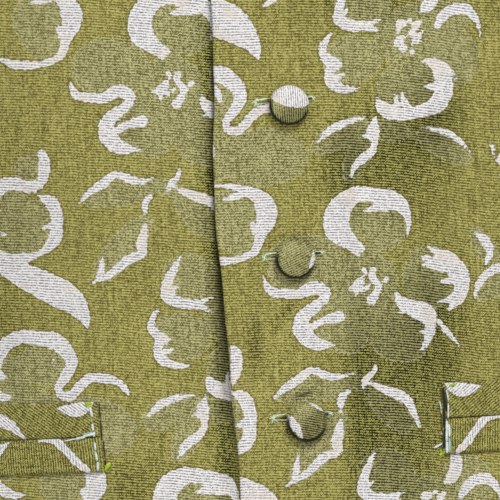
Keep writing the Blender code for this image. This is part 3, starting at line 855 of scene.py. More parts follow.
# How the right front's cloth is drawn out of line, in millimetres: its ribs rise towards the side. From
# the waist down the pattern lies lower by the edge and higher farther across, and from the pocket's
# height down lower again between the edge and the pocket.
RIB_RISE, RIB_RISE_REACH = 18, 110
DRAWN_LOW, DRAWN_SLOPE, DRAWN_ACROSS = 2.8, 0.082, 90
DRAWN_FROM = (375, 415)
LOWER_YET, LOWER_YET_FROM, LOWER_YET_ACROSS = 1.9, (448, 476), (48, 68)

turn, height, arch, cloth = front_layout(underlap_edge)
right_inner = right_front_surface(turn, height, arch)
run, down = cloth[..., 0], cloth[..., 1]
right_lean = -RIB_RISE * np.tanh(run / RIB_RISE_REACH)
drawn = (DRAWN_LOW - DRAWN_SLOPE * np.minimum(run, DRAWN_ACROSS)) * smoothstep(*DRAWN_FROM, down)
drawn += LOWER_YET * smoothstep(*LOWER_YET_FROM, down) * (1 - smoothstep(*LOWER_YET_ACROSS, run))
flower, leaf = brocade_pattern(cloth * (-1, 1) + RIGHT_PATTERN - np.dstack([0 * drawn, drawn]))
right_front = sheet_piece(
    "right_front", right_inner, thickened(right_inner, WALL), True, brocade, ["front_right"],
    cloth * (-1, 1), right_lean, flower, leaf, wear_and_shade_spots(right_inner, RIGHT_FRONT_WEAR_AND_SHADE),
)


# The left front, on top: the same cut, lapping over the right to the fastening. Its cloth stands off
# where the other front lies under it, pulls in at each button, and hangs in soft upright folds.
OVERLAP_EDGE = -0.014
LAP_EASE = (0.0272, 0.0370)
LAP_TOP = (-0.165, -0.110)
BUTTON_LINE = 0.0125
BUTTON_HEIGHTS = (-0.230, -0.288, -0.346, -0.404, -0.465, -0.525)
LEFT_FRONT_FOLDS = (
    Fold(0.051, 0.013, 0.0014, -0.330, -0.600),
    Fold(0.076, 0.014, -0.0014, -0.300, -0.600),
    Fold(0.106, 0.016, 0.0026, -0.290, -0.560),
    Fold(0.134, 0.014, -0.0020, -0.290, -0.540),
)
LEFT_FRONT_CREASES = (
    Crease(0.0305, -0.464, 0.060, 0.0034, -0.0008, 2),
    Crease(0.0375, -0.455, 0.064, 0.0036, 0.0007, -2),
    Crease(0.0490, -0.475, 0.050, 0.0060, -0.0006, 3),
    Crease(0.0360, -0.372, 0.024, 0.0050, -0.0006, 6),
    Crease(0.0620, -0.440, 0.040, 0.0050, -0.0008, 2),
    Crease(0.054, -0.366, 0.030, 0.0090, -0.0010, 8),
    Crease(0.067, -0.380, 0.036, 0.0060, 0.0007, -4),
    Crease(0.0126, -0.4552, 0.0064, 0.0014, -0.0006, 78),
    Crease(0.005, -0.436, 0.010, 0.0035, -0.0005, 20),
    Crease(-0.004, -0.380, 0.020, 0.0040, 0.0003, 5),
    Crease(0.094, -0.430, 0.050, 0.0065, -0.0018, 4),
    Crease(0.124, -0.408, 0.054, 0.0070, 0.0024, -5),
    Crease(0.138, -0.448, 0.034, 0.0050, -0.0018, 6),
    Crease(0.070, -0.532, 0.034, 0.0060, 0.0018, 8),
    Crease(0.030, -0.566, 0.030, 0.0060, -0.0012, 10),
    Crease(0.104, -0.258, 0.048, 0.0075, -0.0028, 36),
    Crease(0.122, -0.238, 0.040, 0.0060, 0.0024, 43),
    Crease(0.078, -0.250, 0.026, 0.0050, 0.0012, 28),
    Crease(0.062, -0.165, 0.050, 0.0080, -0.0019, 22),
    Crease(0.094, -0.112, 0.044, 0.0070, 0.0020, -12),
)
# Soft patches where the ground is drawn darker with stronger dots, laid out as the creases are. The strip at
# 33.5 mm across follows a fold's hollow and is painted shade; the thin one at 1.90, in the crease above the
# fifth button, is painted shadow, near black.
LEFT_FRONT_WEAR_AND_SHADE = (
    Crease(0.0540, -0.366, 0.036, 0.0170, 0.95, 0),
    Crease(0.0325, -0.370, 0.026, 0.0070, 1.00, 0),
    Crease(0.0680, -0.350, 0.026, 0.0080, 0.85, 0),
    Crease(0.0450, -0.308, 0.018, 0.0400, 0.40, 0),
    Crease(0.0640, -0.430, 0.040, 0.0110, 0.95, 0),
    Crease(0.0470, -0.470, 0.080, 0.0150, 1.00, 0),
    Crease(0.0126, -0.4554, 0.0064, 0.0012, 1.90, 78),
    Crease(0.0335, -0.460, 0.064, 0.0050, 0.75, 2),
    Crease(-0.0045, -0.436, 0.017, 0.0024, 0.80, 2),
    Crease(0.0075, -0.424, 0.010, 0.0016, 0.60, 38),
    Crease(0.110, -0.400, 0.080, 0.0190, 0.45, 6),
    Crease(0.080, -0.550, 0.040, 0.0200, 0.35, -8),
    Crease(0.070, -0.220, 0.060, 0.0200, 0.30, 10),
)
# Painted shadow under a button: a dark ring on the cloth at its lower left, by shares of the way up and
# right.
BUTTON_SHADE = 1.3
SHADE_REACH = 0.0074
SHADE_WIDTH = 0.0007
SHADE_UP, SHADE_RIGHT = -0.9, -0.3
SHADE_FADE = (-0.45, 0.40)
EDGE_BOW, EDGE_BOW_HEIGHT, EDGE_BOW_REACH = 0.0026, -0.395, 0.050
EDGE_DIP, EDGE_DIP_HEIGHT, EDGE_DIP_REACH = 0.0008, -0.500, 0.020
EDGE_ROLL = 0.0006
EDGE_ROLL_WIDTH = 0.0035
EDGE_WAVER = 0.00022
# Sines along the edge: a share of the lift or waver, a length in millimetres, and a start.
LIFT_WAVES = ((0.4, 17, 0), (0.3, 7.3, 1))
WAVER_WAVES = ((1, 13, 2), (0.7, 5.1, 0))
BUTTON_PULL = 0.0008
BUTTON_PULL_RADIUS = 0.009
# How the left front's cloth is drawn out of line, in millimetres: its ribs fall towards the side, most
# steeply at LEFT_RIB_MIDDLE. Near the edge the pattern lies higher, down to a little below its origin.
LEFT_RIB_SLOPE, LEFT_RIB_STEP, LEFT_RIB_MIDDLE, LEFT_RIB_REACH = 0.03, 5, 68, 32
LEFT_DRAWN, LEFT_DRAWN_DOWN, LEFT_DRAWN_ACROSS = 2.4, (6, 16), (30, 40)


def overlap_edge(height):
    """Place across of the front edge, which bows out at the waist and in near the hem, as on a wearer."""
    bow = EDGE_BOW * bell(height - EDGE_BOW_HEIGHT, EDGE_BOW_REACH)
    return OVERLAP_EDGE - bow + EDGE_DIP * bell(height - EDGE_DIP_HEIGHT, EDGE_DIP_REACH)


def lap_push(points):
    """How far the left front stands off the form, where the right front lies under it."""
    over = 1 - smoothstep(*LAP_EASE, points[..., 0])
    return (WALL + LAP_GAP) * over * (1 - smoothstep(*LAP_TOP, points[..., 2]))


def button_pull(points):
    """How far the buttons draw the cloth in: a round dimple for each."""
    pull = np.zeros(points.shape[:-1])
    for button_height in BUTTON_HEIGHTS:
        away = np.hypot(points[..., 0] - BUTTON_LINE, points[..., 2] - button_height)
        pull += BUTTON_PULL * bell(away, BUTTON_PULL_RADIUS)
    return pull


def lower_rim(right, up):
    """Share of shade round a button: 1 at its lower left, fading to 0 at its upper right."""
    toward = (SHADE_UP * up + SHADE_RIGHT * right) / (np.hypot(right, up) + 1e-9)
    return smoothstep(*SHADE_FADE, toward)


def button_shade(points):
    """Painted shadow on the cloth under the buttons' lower rims: part of a narrow dark ring each."""
    shade = np.zeros(points.shape[:-1])
    for button_height in BUTTON_HEIGHTS:
        right, up = points[..., 0] - BUTTON_LINE, points[..., 2] - button_height
        ring = bell(np.hypot(right, up) - SHADE_REACH, SHADE_WIDTH)
        shade = np.maximum(shade, BUTTON_SHADE * ring * lower_rim(right, up))
    return shade


def waves(up, table, level=0):
    """A level with the sines of a table added to it, at heights in millimetres."""
    return sum((share * np.sin(up / length + start) for share, length, start in table), level)


def edge_roll(points):
    """How the front edge lifts and wavers: a bell across it, and slow uneven sines along it."""
    near = bell(points[..., 0] - overlap_edge(points[..., 2]), EDGE_ROLL_WIDTH)
    up = points[..., 2] * 1000
    lift = EDGE_ROLL * waves(up, LIFT_WAVES, level=1)
    return near * lift, near * (EDGE_WAVER * waves(up, WAVER_WAVES))


def left_front_surface(turn, height, arch):
    """Inner face of the left front: the form with its folds, creases, lap, pulls and rolled edge."""
    points = torso(turn, height, arch)
    push = fold_push(points, LEFT_FRONT_FOLDS) + crease_push(points, LEFT_FRONT_CREASES)
    lift, waver = edge_roll(points)
    push += lap_push(points) - button_pull(points) + lift
    points = points + outward(points, height) * push[..., None]
    points[..., 0] += waver
    return points


turn, height, arch, cloth = front_layout(overlap_edge)
left_inner = left_front_surface(turn, height, arch)
places = cloth + LEFT_PATTERN
drawn = LEFT_DRAWN * (1 - smoothstep(*LEFT_DRAWN_DOWN, places[..., 1]))
drawn = drawn * (1 - smoothstep(*LEFT_DRAWN_ACROSS, places[..., 0]))
flower, leaf = brocade_pattern(places + np.dstack([0 * drawn, drawn]))
run = cloth[..., 0]
left_lean = LEFT_RIB_SLOPE * run + LEFT_RIB_STEP * (1 + np.tanh((run - LEFT_RIB_MIDDLE) / LEFT_RIB_REACH))
left_front = sheet_piece(
    "left_front", left_inner, thickened(left_inner, WALL), False, brocade, ["front_left"],
    cloth, left_lean, flower, leaf,
    np.maximum(wear_and_shade_spots(left_inner, LEFT_FRONT_WEAR_AND_SHADE), button_shade(left_inner)),
)


# The back: two halves of plain olive cloth, joined by a seam down the middle and to the fronts at
# the sides and shoulders. Each has three soft folds at the waist, and creases of its own.
HEM_BACK_HEIGHT = -0.556
NAPE_DEPTH = 0.018
BACK_ARMHOLE_INSET = 0.136
BACK_FOLDS = (
    Fold(0.040, 0.016, 0.0046, -0.320, -0.520),
    Fold(0.082, 0.017, -0.0040, -0.300, -0.540),
    Fold(0.126, 0.015, 0.0042, -0.280, -0.520),
)
LEFT_BACK_CREASES = (
    Crease(0.018, -0.436, 0.070, 0.0060, -0.0024, 3),
    Crease(0.034, -0.410, 0.040, 0.0050, 0.0020, -9),
    Crease(0.060, -0.444, 0.052, 0.0060, 0.0026, -5),
    Crease(0.074, -0.418, 0.034, 0.0050, -0.0020, 10),
    Crease(0.104, -0.400, 0.066, 0.0070, -0.0028, 5),
    Crease(0.128, -0.432, 0.040, 0.0060, 0.0022, -7),
    Crease(0.026, -0.330, 0.040, 0.0070, 0.0018, 22),
    Crease(0.120, -0.268, 0.050, 0.0070, 0.0028, -38),
    Crease(0.104, -0.240, 0.040, 0.0060, -0.0026, -30),
    Crease(0.092, -0.186, 0.050, 0.0090, -0.0020, -18),
    Crease(0.046, -0.096, 0.046, 0.0090, 0.0020, 14),
    Crease(0.066, -0.518, 0.032, 0.0060, -0.0020, 8),
    Crease(0.110, -0.522, 0.026, 0.0060, 0.0018, -6),
)
RIGHT_BACK_CREASES = (
    Crease(0.024, -0.422, 0.060, 0.0060, -0.0020, -4),
    Crease(0.048, -0.448, 0.046, 0.0055, 0.0024, 6),
    Crease(0.066, -0.408, 0.036, 0.0050, -0.0018, -9),
    Crease(0.088, -0.436, 0.058, 0.0065, 0.0026, 3),
    Crease(0.114, -0.410, 0.058, 0.0065, -0.0026, -6),
    Crease(0.134, -0.440, 0.034, 0.0055, 0.0018, 5),
    Crease(0.034, -0.348, 0.036, 0.0070, 0.0016, 26),
    Crease(0.114, -0.256, 0.048, 0.0070, 0.0026, -34),
    Crease(0.100, -0.226, 0.036, 0.0060, -0.0022, -26),
    Crease(0.084, -0.178, 0.044, 0.0090, -0.0018, -14),
    Crease(0.052, -0.106, 0.040, 0.0090, 0.0018, 18),
    Crease(0.078, -0.524, 0.030, 0.0060, -0.0018, -7),
)
BACK_LEVELS = steps_between((0.0, 0.002), (0.008, 0.012), (1.0, 1))
BACK_SHARES = steps_between((0.0, 0.006), (0.018, 0.018), (0.982, 0.006), (1.0, 1))
BACK_UPPER_ROWS = 30
NAPE_ROWS = 14
COTTON_SHEEN = 0.15
COTTON_THREAD = 0.6  # millimetres from one thread to the next but one


def back_layout():
    """Turn, height and arch of a back half's points, rows up from the hem, and their flat places."""
    side = SIDE_SEAM + SEAM_GAP / 2 / CHEST.back_depth
    seam = math.pi - SEAM_ARCH
    rows = []
    for share in BACK_LEVELS:
        level = HEM_BACK_HEIGHT + (UNDERARM - HEM_BACK_HEIGHT) * share
        turn, run = ring_turns(side, math.pi, level, BACK_SHARES)
        low = front_hem(np.array(SIDE_SEAM))
        hem = low + (HEM_BACK_HEIGHT - low) * smoothstep(SIDE_SEAM, math.pi, turn)
        height = hem + (UNDERARM - hem) * share
        rows.append((turn, height, np.zeros_like(turn), run, -height))
    swing = np.linspace(0, math.pi / 2, ARMHOLE_ROWS + 1)[1:]
    low = arch_at_rise(ARMHOLE_TURN * (1 - np.cos(swing)))
    nape = 1 - (NAPE_DEPTH + CROWN) / (CROWN - UNDERARM)
    middle = np.linspace(low[-1], arch_at_rise(nape), BACK_UPPER_ROWS + 1)[1:]
    step_out = (np.arange(NAPE_ROWS) + 1) / NAPE_ROWS
    top = arch_at_rise(nape + (arch_rise(seam) - nape) * step_out**2)
    for arch in np.concatenate([low, middle, top]):
        cut = (arch_rise(arch) - nape) / (arch_rise(seam) - nape)
        neck = NECK_HALF_WIDTH * np.sqrt(np.clip(cut, 0, 1))
        climbed = arch_rise(arch) / arch_rise(seam)
        outer = math.pi - armhole_turn(climbed, BACK_ARMHOLE_INSET, math.pi - side)
        inner = math.pi - turn_of(neck, CHEST.half_width)
        turn, run = ring_turns(outer, inner, UNDERARM, BACK_SHARES)
        down = np.full_like(turn, -UNDERARM - 0.25 * arch_rise(arch))
        rows.append((turn, np.full_like(turn, UNDERARM), np.full_like(turn, arch), run, down))
    turn, height, arch, run, down = np.array(rows).transpose(1, 0, 2)
    return turn, height, arch, np.stack([run, down], axis=-1) * 1000


def plain_finish(name):
    """Plain-woven cotton: olive, with a fine even grid of threads and faint streaks."""
    finish, shader, start = new_finish(name, COTTON_SHEEN)
    cloth = start.attribute("cloth", output=1)
    across, down, _ = cloth.measures()
    threads = (across * (2 * math.pi / COTTON_THREAD)).sine() * (down * (2 * math.pi / COTTON_THREAD)).sine()
    streaks = start.node("ShaderNodeTexNoise", {"Vector": cloth, "Scale": 0.35, "Detail": 4.0})
    tone = threads * 0.18 + (streaks - 0.5) * 0.9 + 0.5
    base = tone.between(0, 1).blend(colour(98, 96, 58), colour(132, 128, 84))
    finish_with(shader, base, 0.86 - threads * 0.04, threads, 0.00008, 0.6)
    return finish


plain_cloth = plain_finish("plain_cloth")
turn, height, arch, cloth = back_layout()
back_points = torso(turn, height, arch)
level = np.zeros(turn.shape)
unpatterned = level + PATTERN_REACH
for side, mirrored, creases in (("left", False, LEFT_BACK_CREASES), ("right", True, RIGHT_BACK_CREASES)):
    back_push = fold_push(back_points, BACK_FOLDS) + crease_push(back_points, creases)
    back_inner = back_points + outward(back_points, height) * back_push[..., None]
    back_inner[:, :, 0] = np.maximum(back_inner[:, :, 0], SEAM_GAP / 2)
    back_outer = thickened(back_inner, WALL)
    back_outer[:, :, 0] = np.maximum(back_outer[:, :, 0], SEAM_GAP / 2)
    half = sheet_piece(
        f"{side}_back", back_inner, back_outer, mirrored, plain_cloth,
        [f"back_{side}"], cloth, level, unpatterned, unpatterned, level,
    )


# The bound pockets: each mouth lies between two folded lips of the same brocade, cut without heed
# to the pattern and sewn on the front, the upper one on the bias.
POCKET_START = 0.0643
POCKET_LENGTH = 0.112
POCKET_MOUTH = -0.4675
LIP_HEIGHT = 0.0132
LIP_WALL = 0.0014
LIP_GAP = 0.0005
LIP_WEAR = 0.35
LIP_SLANT = 0.0016
LIP_ROWS = steps_between((0.0, 0.02), (0.10, 0.06), (0.90, 0.02), (1.0, 1))
LIP_SHARES = steps_between((0.0, 0.0025), (0.02, 0.006), (0.50, 0.0085), (0.98, 0.0025), (1.0, 1))
# A lip's bits of the pattern: strokes in millimetres along it from its inner end and down from its top.
Lip = namedtuple("Lip", "name low turned strokes")
LIPS = (
    Lip("lower", POCKET_MOUTH - SEAM_GAP / 2 - LIP_HEIGHT, 90, (
        ((24, -0.2, 2), (18, 0.6, 3), (14, 4, 3.2), (10, 9, 3), (6, 12.4, 2.4)),
        ((37, 1, 0.5), (42, 4, 4), (49, 8, 5.5), (58, 9, 4), (64, 6, 1)),
        ((78, 13, 3), (84, 8, 5), (92, 6, 5), (99, 9, 3), (104, 14, 1)),
    )),
    Lip("upper", POCKET_MOUTH + SEAM_GAP / 2, 38, (
        ((15, 1.8, 0.8), (12, 2.6, 3.4), (8, 3.0, 5.2), (4, 1.4, 4.4), (2.2, -0.6, 2.6)),
        ((30, 13, 1), (35, 8, 4), (43, 5, 5), (52, 5, 3), (58, 8, 0.5)),
        ((70, 0, 4), (77, 4, 6), (88, 5, 5), (96, 1, 3)),
    )),
)


def lip_layout(low):
    """Turns and heights of a lip's points: its stretch of the ring at each of its heights."""
    rows = []
    for share in LIP_ROWS:
        level = low + LIP_HEIGHT * share
        start = turn_of(POCKET_START, ring_size(level, "half_width"))
        slant = LIP_SLANT * (POCKET_MOUTH + LIP_HEIGHT - level) / (2 * LIP_HEIGHT)
        run = -slant + (POCKET_LENGTH + slant) * LIP_SHARES
        turn = np.interp(run, *pocket_arc(start, level, slant))
        rows.append((turn, np.full_like(turn, level)))
    return np.array(rows).transpose(1, 0, 2)


def pocket_across(past_end, height):
    """Distance across, in millimetres, of places near a pocket's outer end, at heights in millimetres."""
    level = height / 1000
    start = turn_of(POCKET_START, ring_size(level, "half_width"))
    across = [
        torso(*(np.array(v) for v in (np.interp(POCKET_LENGTH + past / 1000, *arc), z, 0.0)))[0]
        for past, z, arc in zip(past_end, level, (pocket_arc(a, z) for a, z in zip(start, level)))
    ]
    return np.array(across) * 1000


def pocket_arc(start, level, before=0.0):
    """Arc lengths round the ring from a pocket's start, or from a little before it, and the turns there."""
    early = start - before / ring_size(level, "half_width")
    turn, run = ring_turns(early, SIDE_SEAM, level, np.linspace(0, 1, FINE_STEPS))
    return run - np.interp(start, turn, run), turn


fronts = {"left": (left_front_surface, False), "right": (right_front_surface, True)}
for side, (surface, mirrored) in fronts.items():
    for lip in LIPS:
        turn, height = lip_layout(lip.low)
        under = surface(turn, height, np.zeros_like(turn))
        inner = under + face_normals(under) * (WALL + LIP_GAP)
        run = POCKET_LENGTH * 1000 * np.broadcast_to(LIP_SHARES, turn.shape)
        drop = 1000 * (lip.low + LIP_HEIGHT - height)
        flower = np.full(run.size, PATTERN_REACH)
        distance_to_strokes(np.dstack([run, drop]).reshape(-1, 2), lip.strokes, flower)
        angle = math.radians(lip.turned)
        along = run * math.cos(angle) - drop * math.sin(angle)
        cloth = np.dstack([along, run * math.sin(angle) + drop * math.cos(angle)])
        level = np.zeros(turn.shape)
        strip = sheet_piece(
            f"{side}_pocket_{lip.name}_lip", inner, thickened(inner, LIP_WALL), mirrored, brocade,
            [f"pocket_{side}_{lip.name}_lip"], cloth, level, flower.reshape(turn.shape),
            level + PATTERN_REACH, level + LIP_WEAR,
        )


# The six buttons: domed moulds covered with scraps of the brocade drawn in behind, each on a short
# shank of thread that goes through its buttonhole to the right front.
BUTTON_RADIUS = 0.0075
BUTTON_RISE = 0.0052
BUTTON_LIFT = 0.0004
SHANK_RADIUS = 0.0014
BUTTON_ROUND = 64
DOME_FOOT = 0.0014  # height of the rim, where the dome ends
DOME_OUT, DOME_UP = 0.86, 0.80  # powers that square the dome's sine and cosine a little
UNDERSIDE = ((0.0074, 0.0007), (0.0067, 0.0001), (0.0056, -0.0002), (0.0040, 0.0))
SHANK_DROPS = (0.0, -0.0012, -0.0027)
PUCKER, PUCKERS, PUCKER_FROM = 0.00016, 17, (0.70, 1.0)
# Painted shadow on the buttons' rims: its strength, its share away from the lower left, and where across the
# dome it starts.
RIM_SHADOW, RIM_SHARE, RIM_FROM = 2.2, 0.12, (0.82, 0.90)
# Painted shade on each cover: it grows over this range of millimetres right plus down, towards the lower
# right.
COVER_SHADE_FROM = (-6, 3)  # millimetres right and down
COVER_STRETCH = 1.2  # how much finer the weave looks, drawn round the mould
# The covers are cut from petals. How each hangs off its place, and its bits of the white strokes, are in
# millimetres right and down from its middle.
# A cover's wear-and-shade value is the strength of the painted shade on its lower right.
Cover = namedtuple("Cover", "turned worn hang strokes")
COVERS = (
    Cover(20, 0.3, (0.2, 0.3), (((9, -3, 3), (7, 1, 4), (8, 5, 3)),)),
    Cover(-12, 0.3, (-0.3, 0.2), (((-8, 5, 3), (-3, 5, 3.5), (2, 8, 3)),)),
    Cover(90, 0.95, (0.3, 0.2), (((-4.4, -4.2, 5), (-1.5, -3.9, 7.4), (1.5, -3.6, 8.4), (4.4, -2.6, 7)),)),
    Cover(24, 0.3, (-0.4, -0.1), (((7.2, -2.6, 1), (6.8, -0.5, 1.8), (5.6, 3.2, 1.3)),)),
    Cover(-12, 1.1, (0.8, 1.1), (
        ((-7.2, -2.4, 1.6), (-5.6, 0.2, 3), (-3.8, 2.6, 2.8), (-2.7, 6.6, 1.5)),
        ((1.8, -7.2, 1.2), (5.6, -4.3, 1.6)),
    )),
    Cover(60, 0.4, (0.2, 0.6), (((-8, -2, 3), (-5, -5, 4), (0, -8, 3)),)),
)


def outer_frame(across, height):
    """Point and outward normal of the left front's outer face, from points a step to each side."""
    step = 0.002
    level = height + step * np.array([0, 0, 0, 1, -1])
    beside = across + step * np.array([0, 1, -1, 0, 0])
    turn = turn_of(beside, ring_size(level, "half_width"))
    here, right, left, above, below = left_front_surface(turn, level, np.zeros(5))
    normal = np.cross(right - left, above - below)
    normal /= np.linalg.norm(normal)
    return here + normal * (WALL + BUTTON_PULL), normal


def button_profile():
    """Radius and height of a button's outline, from its crown over the rim and down the shank."""
    swing = np.radians(np.linspace(0, 90, 18))
    dome = np.column_stack(
        [
            BUTTON_RADIUS * np.sin(swing) ** DOME_OUT,
            DOME_FOOT + (BUTTON_RISE - DOME_FOOT) * np.cos(swing) ** DOME_UP,
        ]
    )
    shank = [(SHANK_RADIUS, drop) for drop in SHANK_DROPS] + [(0.0, SHANK_DROPS[-1])]
    return np.concatenate([dome, UNDERSIDE, shank])


def lathe(profile, count):
    """Points and faces of a profile turned round the z axis, closed by one point at each end."""
    angles = np.linspace(0, 2 * math.pi, count, endpoint=False)
    middle = profile[1:-1]
    rings = np.stack(
        [
            middle[:, None, 0] * np.cos(angles),
            middle[:, None, 0] * np.sin(angles),
            np.broadcast_to(middle[:, None, 1], (len(middle), count)),
        ],
        axis=-1,
    )
    index = np.arange(len(middle) * count).reshape(len(middle), count) + 1
    ahead = np.roll(index, -1, axis=1)
    walls = np.stack([index[:-1], index[1:], ahead[1:], ahead[:-1]], axis=-1).reshape(-1, 4)
    last = len(middle) * count + 1
    top = [(0, a, b) for a, b in zip(index[0].tolist(), ahead[0].tolist())]
    foot = [(b, a, last) for a, b in zip(index[-1].tolist(), ahead[-1].tolist())]
    points = np.concatenate([[(0, 0, profile[0, 1])], rings.reshape(-1, 3), [(0, 0, profile[-1, 1])]])
    return points, top + walls.tolist() + foot


for number, (height, cover) in enumerate(zip(BUTTON_HEIGHTS, COVERS), start=1):
    points, faces = lathe(button_profile(), BUTTON_ROUND)
    around = np.arctan2(points[:, 1], points[:, 0])
    reach = np.hypot(points[:, 0], points[:, 1]) / BUTTON_RADIUS
    pucker = PUCKER * np.sin(around * PUCKERS + number) * smoothstep(*PUCKER_FROM, reach)
    # Painted shadow: each button's rim goes near black, fully at its lower left and a small share elsewhere.
    shaded_share = RIM_SHARE + (1 - RIM_SHARE) * lower_rim(points[:, 0], points[:, 1])
    rim_shadow = RIM_SHADOW * (smoothstep(*RIM_FROM, reach) * shaded_share)
    points[:, 2] += pucker + BUTTON_LIFT
    spot = points[:, :2] * 1000 * (1, -1)
    flower = np.full(len(spot), PATTERN_REACH)
    distance_to_strokes(spot, cover.strokes, flower)
    angle = math.radians(cover.turned)
    weave = np.column_stack(
        [
            spot[:, 0] * math.cos(angle) - spot[:, 1] * math.sin(angle),
            spot[:, 0] * math.sin(angle) + spot[:, 1] * math.cos(angle),
            np.zeros(len(spot)),
        ]
    ) * COVER_STRETCH
    # Painted shade: each cover darkens towards its lower right, by its wear-and-shade value.
    worn = cover.worn * smoothstep(*COVER_SHADE_FROM, spot[:, 0] + spot[:, 1])
    place, normal = outer_frame(BUTTON_LINE + cover.hang[0] / 1000, height - cover.hang[1] / 1000)
    upright = np.array(Vector(normal).to_track_quat("Z", "Y").to_matrix())
    if upright[2, 1] < 0:
        upright[:, :2] *= -1
    add_piece(
        f"covered_button_{number}", points @ upright.T + place, faces, brocade,
        [f"button_{number}"],
        [
            ("cloth", weave), ("flower", flower), ("leaf", np.full(len(spot), -PATTERN_REACH)),
            ("worn", np.maximum(worn, rim_shadow)),
        ],
    )


# The buttonholes' silk: cords along each slit, a bar tack at the end towards the front edge and a knot
# at the other end, which show on both sides of each button. The slit itself is a dark thread, painted
# shade in the open slit.
THREAD_SIDES = 6
ALONG_THREAD = np.linspace(0, 1, 7)
STITCH_BOW, BOWED_LENGTH = 0.07, 0.004  # rise of a stitch's middle, as a share of up to that length
HOLE_DRIFT, STITCH_DRIFT, END_DRIFT = 0.25, 0.16, 0.12  # how unevenly a hand sews, in millimetres
# Thread colours: the dyed silks, and two painted shades, dark for the open buttonhole slits and shade for
# the shadow beside the pockets' lip ends.
THREAD_COLOURS = {
    "pale green": colour(232, 244, 212), "green": colour(172, 202, 142), "dark": colour(48, 48, 24),
    "sea": colour(232, 244, 240), "grey sea": colour(178, 206, 200), "lime": colour(166, 206, 24),
    "yellow": colour(236, 236, 110), "fawn": colour(214, 196, 168), "shade": colour(40, 36, 14),
}
# A stitch runs between two places in millimetres to the right and up, and is that thick.
Stitch = namedtuple("Stitch", "start end thickness dye")
HOLE_STITCHES = (
    # The dark stitch on each side of the button is the slit, drawn as painted shade.
    Stitch((-9.6, 1.2), (-6.4, 1.5), 0.42, "dark"),
    Stitch((-12.2, 2.1), (-6.8, 2.6), 0.62, "pale green"),
    Stitch((-11.8, 1.7), (-8.2, 1.9), 0.34, "green"),
    Stitch((-11.6, 0.5), (-6.6, 0.6), 0.48, "fawn"),
    Stitch((-12.6, -0.4), (-12.4, 2.4), 0.40, "green"),
    Stitch((-12.0, -0.2), (-11.7, 2.6), 0.42, "pale green"),
    Stitch((-11.4, -0.4), (-11.2, 2.2), 0.36, "green"),
    Stitch((-13.2, 2.2), (-10.6, 0.0), 0.40, "pale green"),
    Stitch((-12.8, 0.3), (-10.8, -0.9), 0.36, "green"),
    Stitch((-12.7, -0.7), (-11.1, 2.9), 0.36, "pale green"),
    Stitch((-13.4, 1.2), (-11.2, 1.4), 0.34, "pale green"),
    Stitch((6.8, 1.7), (9.0, 1.7), 0.54, "dark"),
    Stitch((6.8, 2.4), (9.4, 2.5), 0.46, "pale green"),
    Stitch((7.0, 1.0), (9.4, 0.9), 0.40, "green"),
    Stitch((8.9, 2.9), (9.9, 1.1), 0.50, "pale green"),
    Stitch((9.5, 3.1), (9.2, 0.7), 0.36, "green"),
    Stitch((9.0, 1.7), (10.3, 2.3), 0.60, "sea"),
)


def on_cloth(surface, across, height, lift):
    """Points over a front's outer face, at places on its own side, lifted off it by that much."""
    turn = turn_of(across, ring_size(height, "half_width"))
    points = surface(turn, height, np.zeros_like(turn))
    return points + outward(points, height) * (WALL + lift)[..., None]


def thread_mesh(paths, radii):
    """Points and faces of round threads along the paths: rings square to each, narrower at both ends."""
    count, length = paths.shape[:2]
    ahead = np.gradient(paths, axis=1)
    ahead /= np.linalg.norm(ahead, axis=-1, keepdims=True)
    aside = np.cross(ahead, (0.0, -1.0, 0.1))
    aside /= np.linalg.norm(aside, axis=-1, keepdims=True)
    above = np.cross(aside, ahead)
    taper = np.ones(length)
    taper[[0, -1]] = 0.5
    reach = (radii[:, None] * taper)[..., None, None]
    angle = np.arange(THREAD_SIDES) * (2 * math.pi / THREAD_SIDES)
    ring = aside[:, :, None] * np.cos(angle)[:, None] + above[:, :, None] * np.sin(angle)[:, None]
    points = (paths[:, :, None] + reach * ring).reshape(-1, 3)
    index = np.arange(len(points)).reshape(count, length, THREAD_SIDES)
    ahead_round = np.roll(index, -1, axis=2)
    walls = np.stack([index[:, :-1], index[:, 1:], ahead_round[:, 1:], ahead_round[:, :-1]], axis=-1)
    caps = index[:, 0].tolist() + index[:, -1, ::-1].tolist()
    return points, walls.reshape(-1, 4).tolist() + caps


def sewn(name, surface, mirrored, stitches, base):
    """One joined piece of stitches on a front, each bowed up a little off the cloth under it."""
    start = np.array([stitch.start for stitch in stitches]) / 1000
    end = np.array([stitch.end for stitch in stitches]) / 1000
    radii = np.array([stitch.thickness for stitch in stitches]) / 2000
    flat = start[:, None] + (end - start)[:, None] * ALONG_THREAD[:, None]
    bow = np.minimum(np.linalg.norm(end - start, axis=1), BOWED_LENGTH) * STITCH_BOW
    lift = radii[:, None] * 0.5 + bow[:, None] * np.sin(math.pi * ALONG_THREAD) + np.array(base)[:, None]
    paths = on_cloth(surface, flat[..., 0], flat[..., 1], lift)
    if mirrored:
        paths = paths * (-1, 1, 1)
    points, faces = thread_mesh(paths, radii)
    dye = np.array([THREAD_COLOURS[stitch.dye][:3] for stitch in stitches])
    dye = np.repeat(dye, len(ALONG_THREAD) * THREAD_SIDES, axis=0)
    return add_piece(name, points, faces, sewing_silk, (), [("dye", dye)])


def thread_finish(name):
    """Sewing silk: each stitch's own colour, mottled along it as the twisted strands turn; the dark slit and
    lip-end threads are painted shade.
    """
    finish, shader, start = new_finish(name, 0.3)
    dye = start.attribute("dye", output=0)
    place = start.node("ShaderNodeTexCoord", {}, "Object")
    twist = start.node("ShaderNodeTexNoise", {"Vector": place, "Scale": 2600.0, "Detail": 1.0})
    shade = twist.between(0.30, 0.62) * 0.45 + 0.62
    finish_with(shader, dye.shaded(shade), 0.50 + twist * 0.2, twist, 0.0001, 0.5)
    return finish


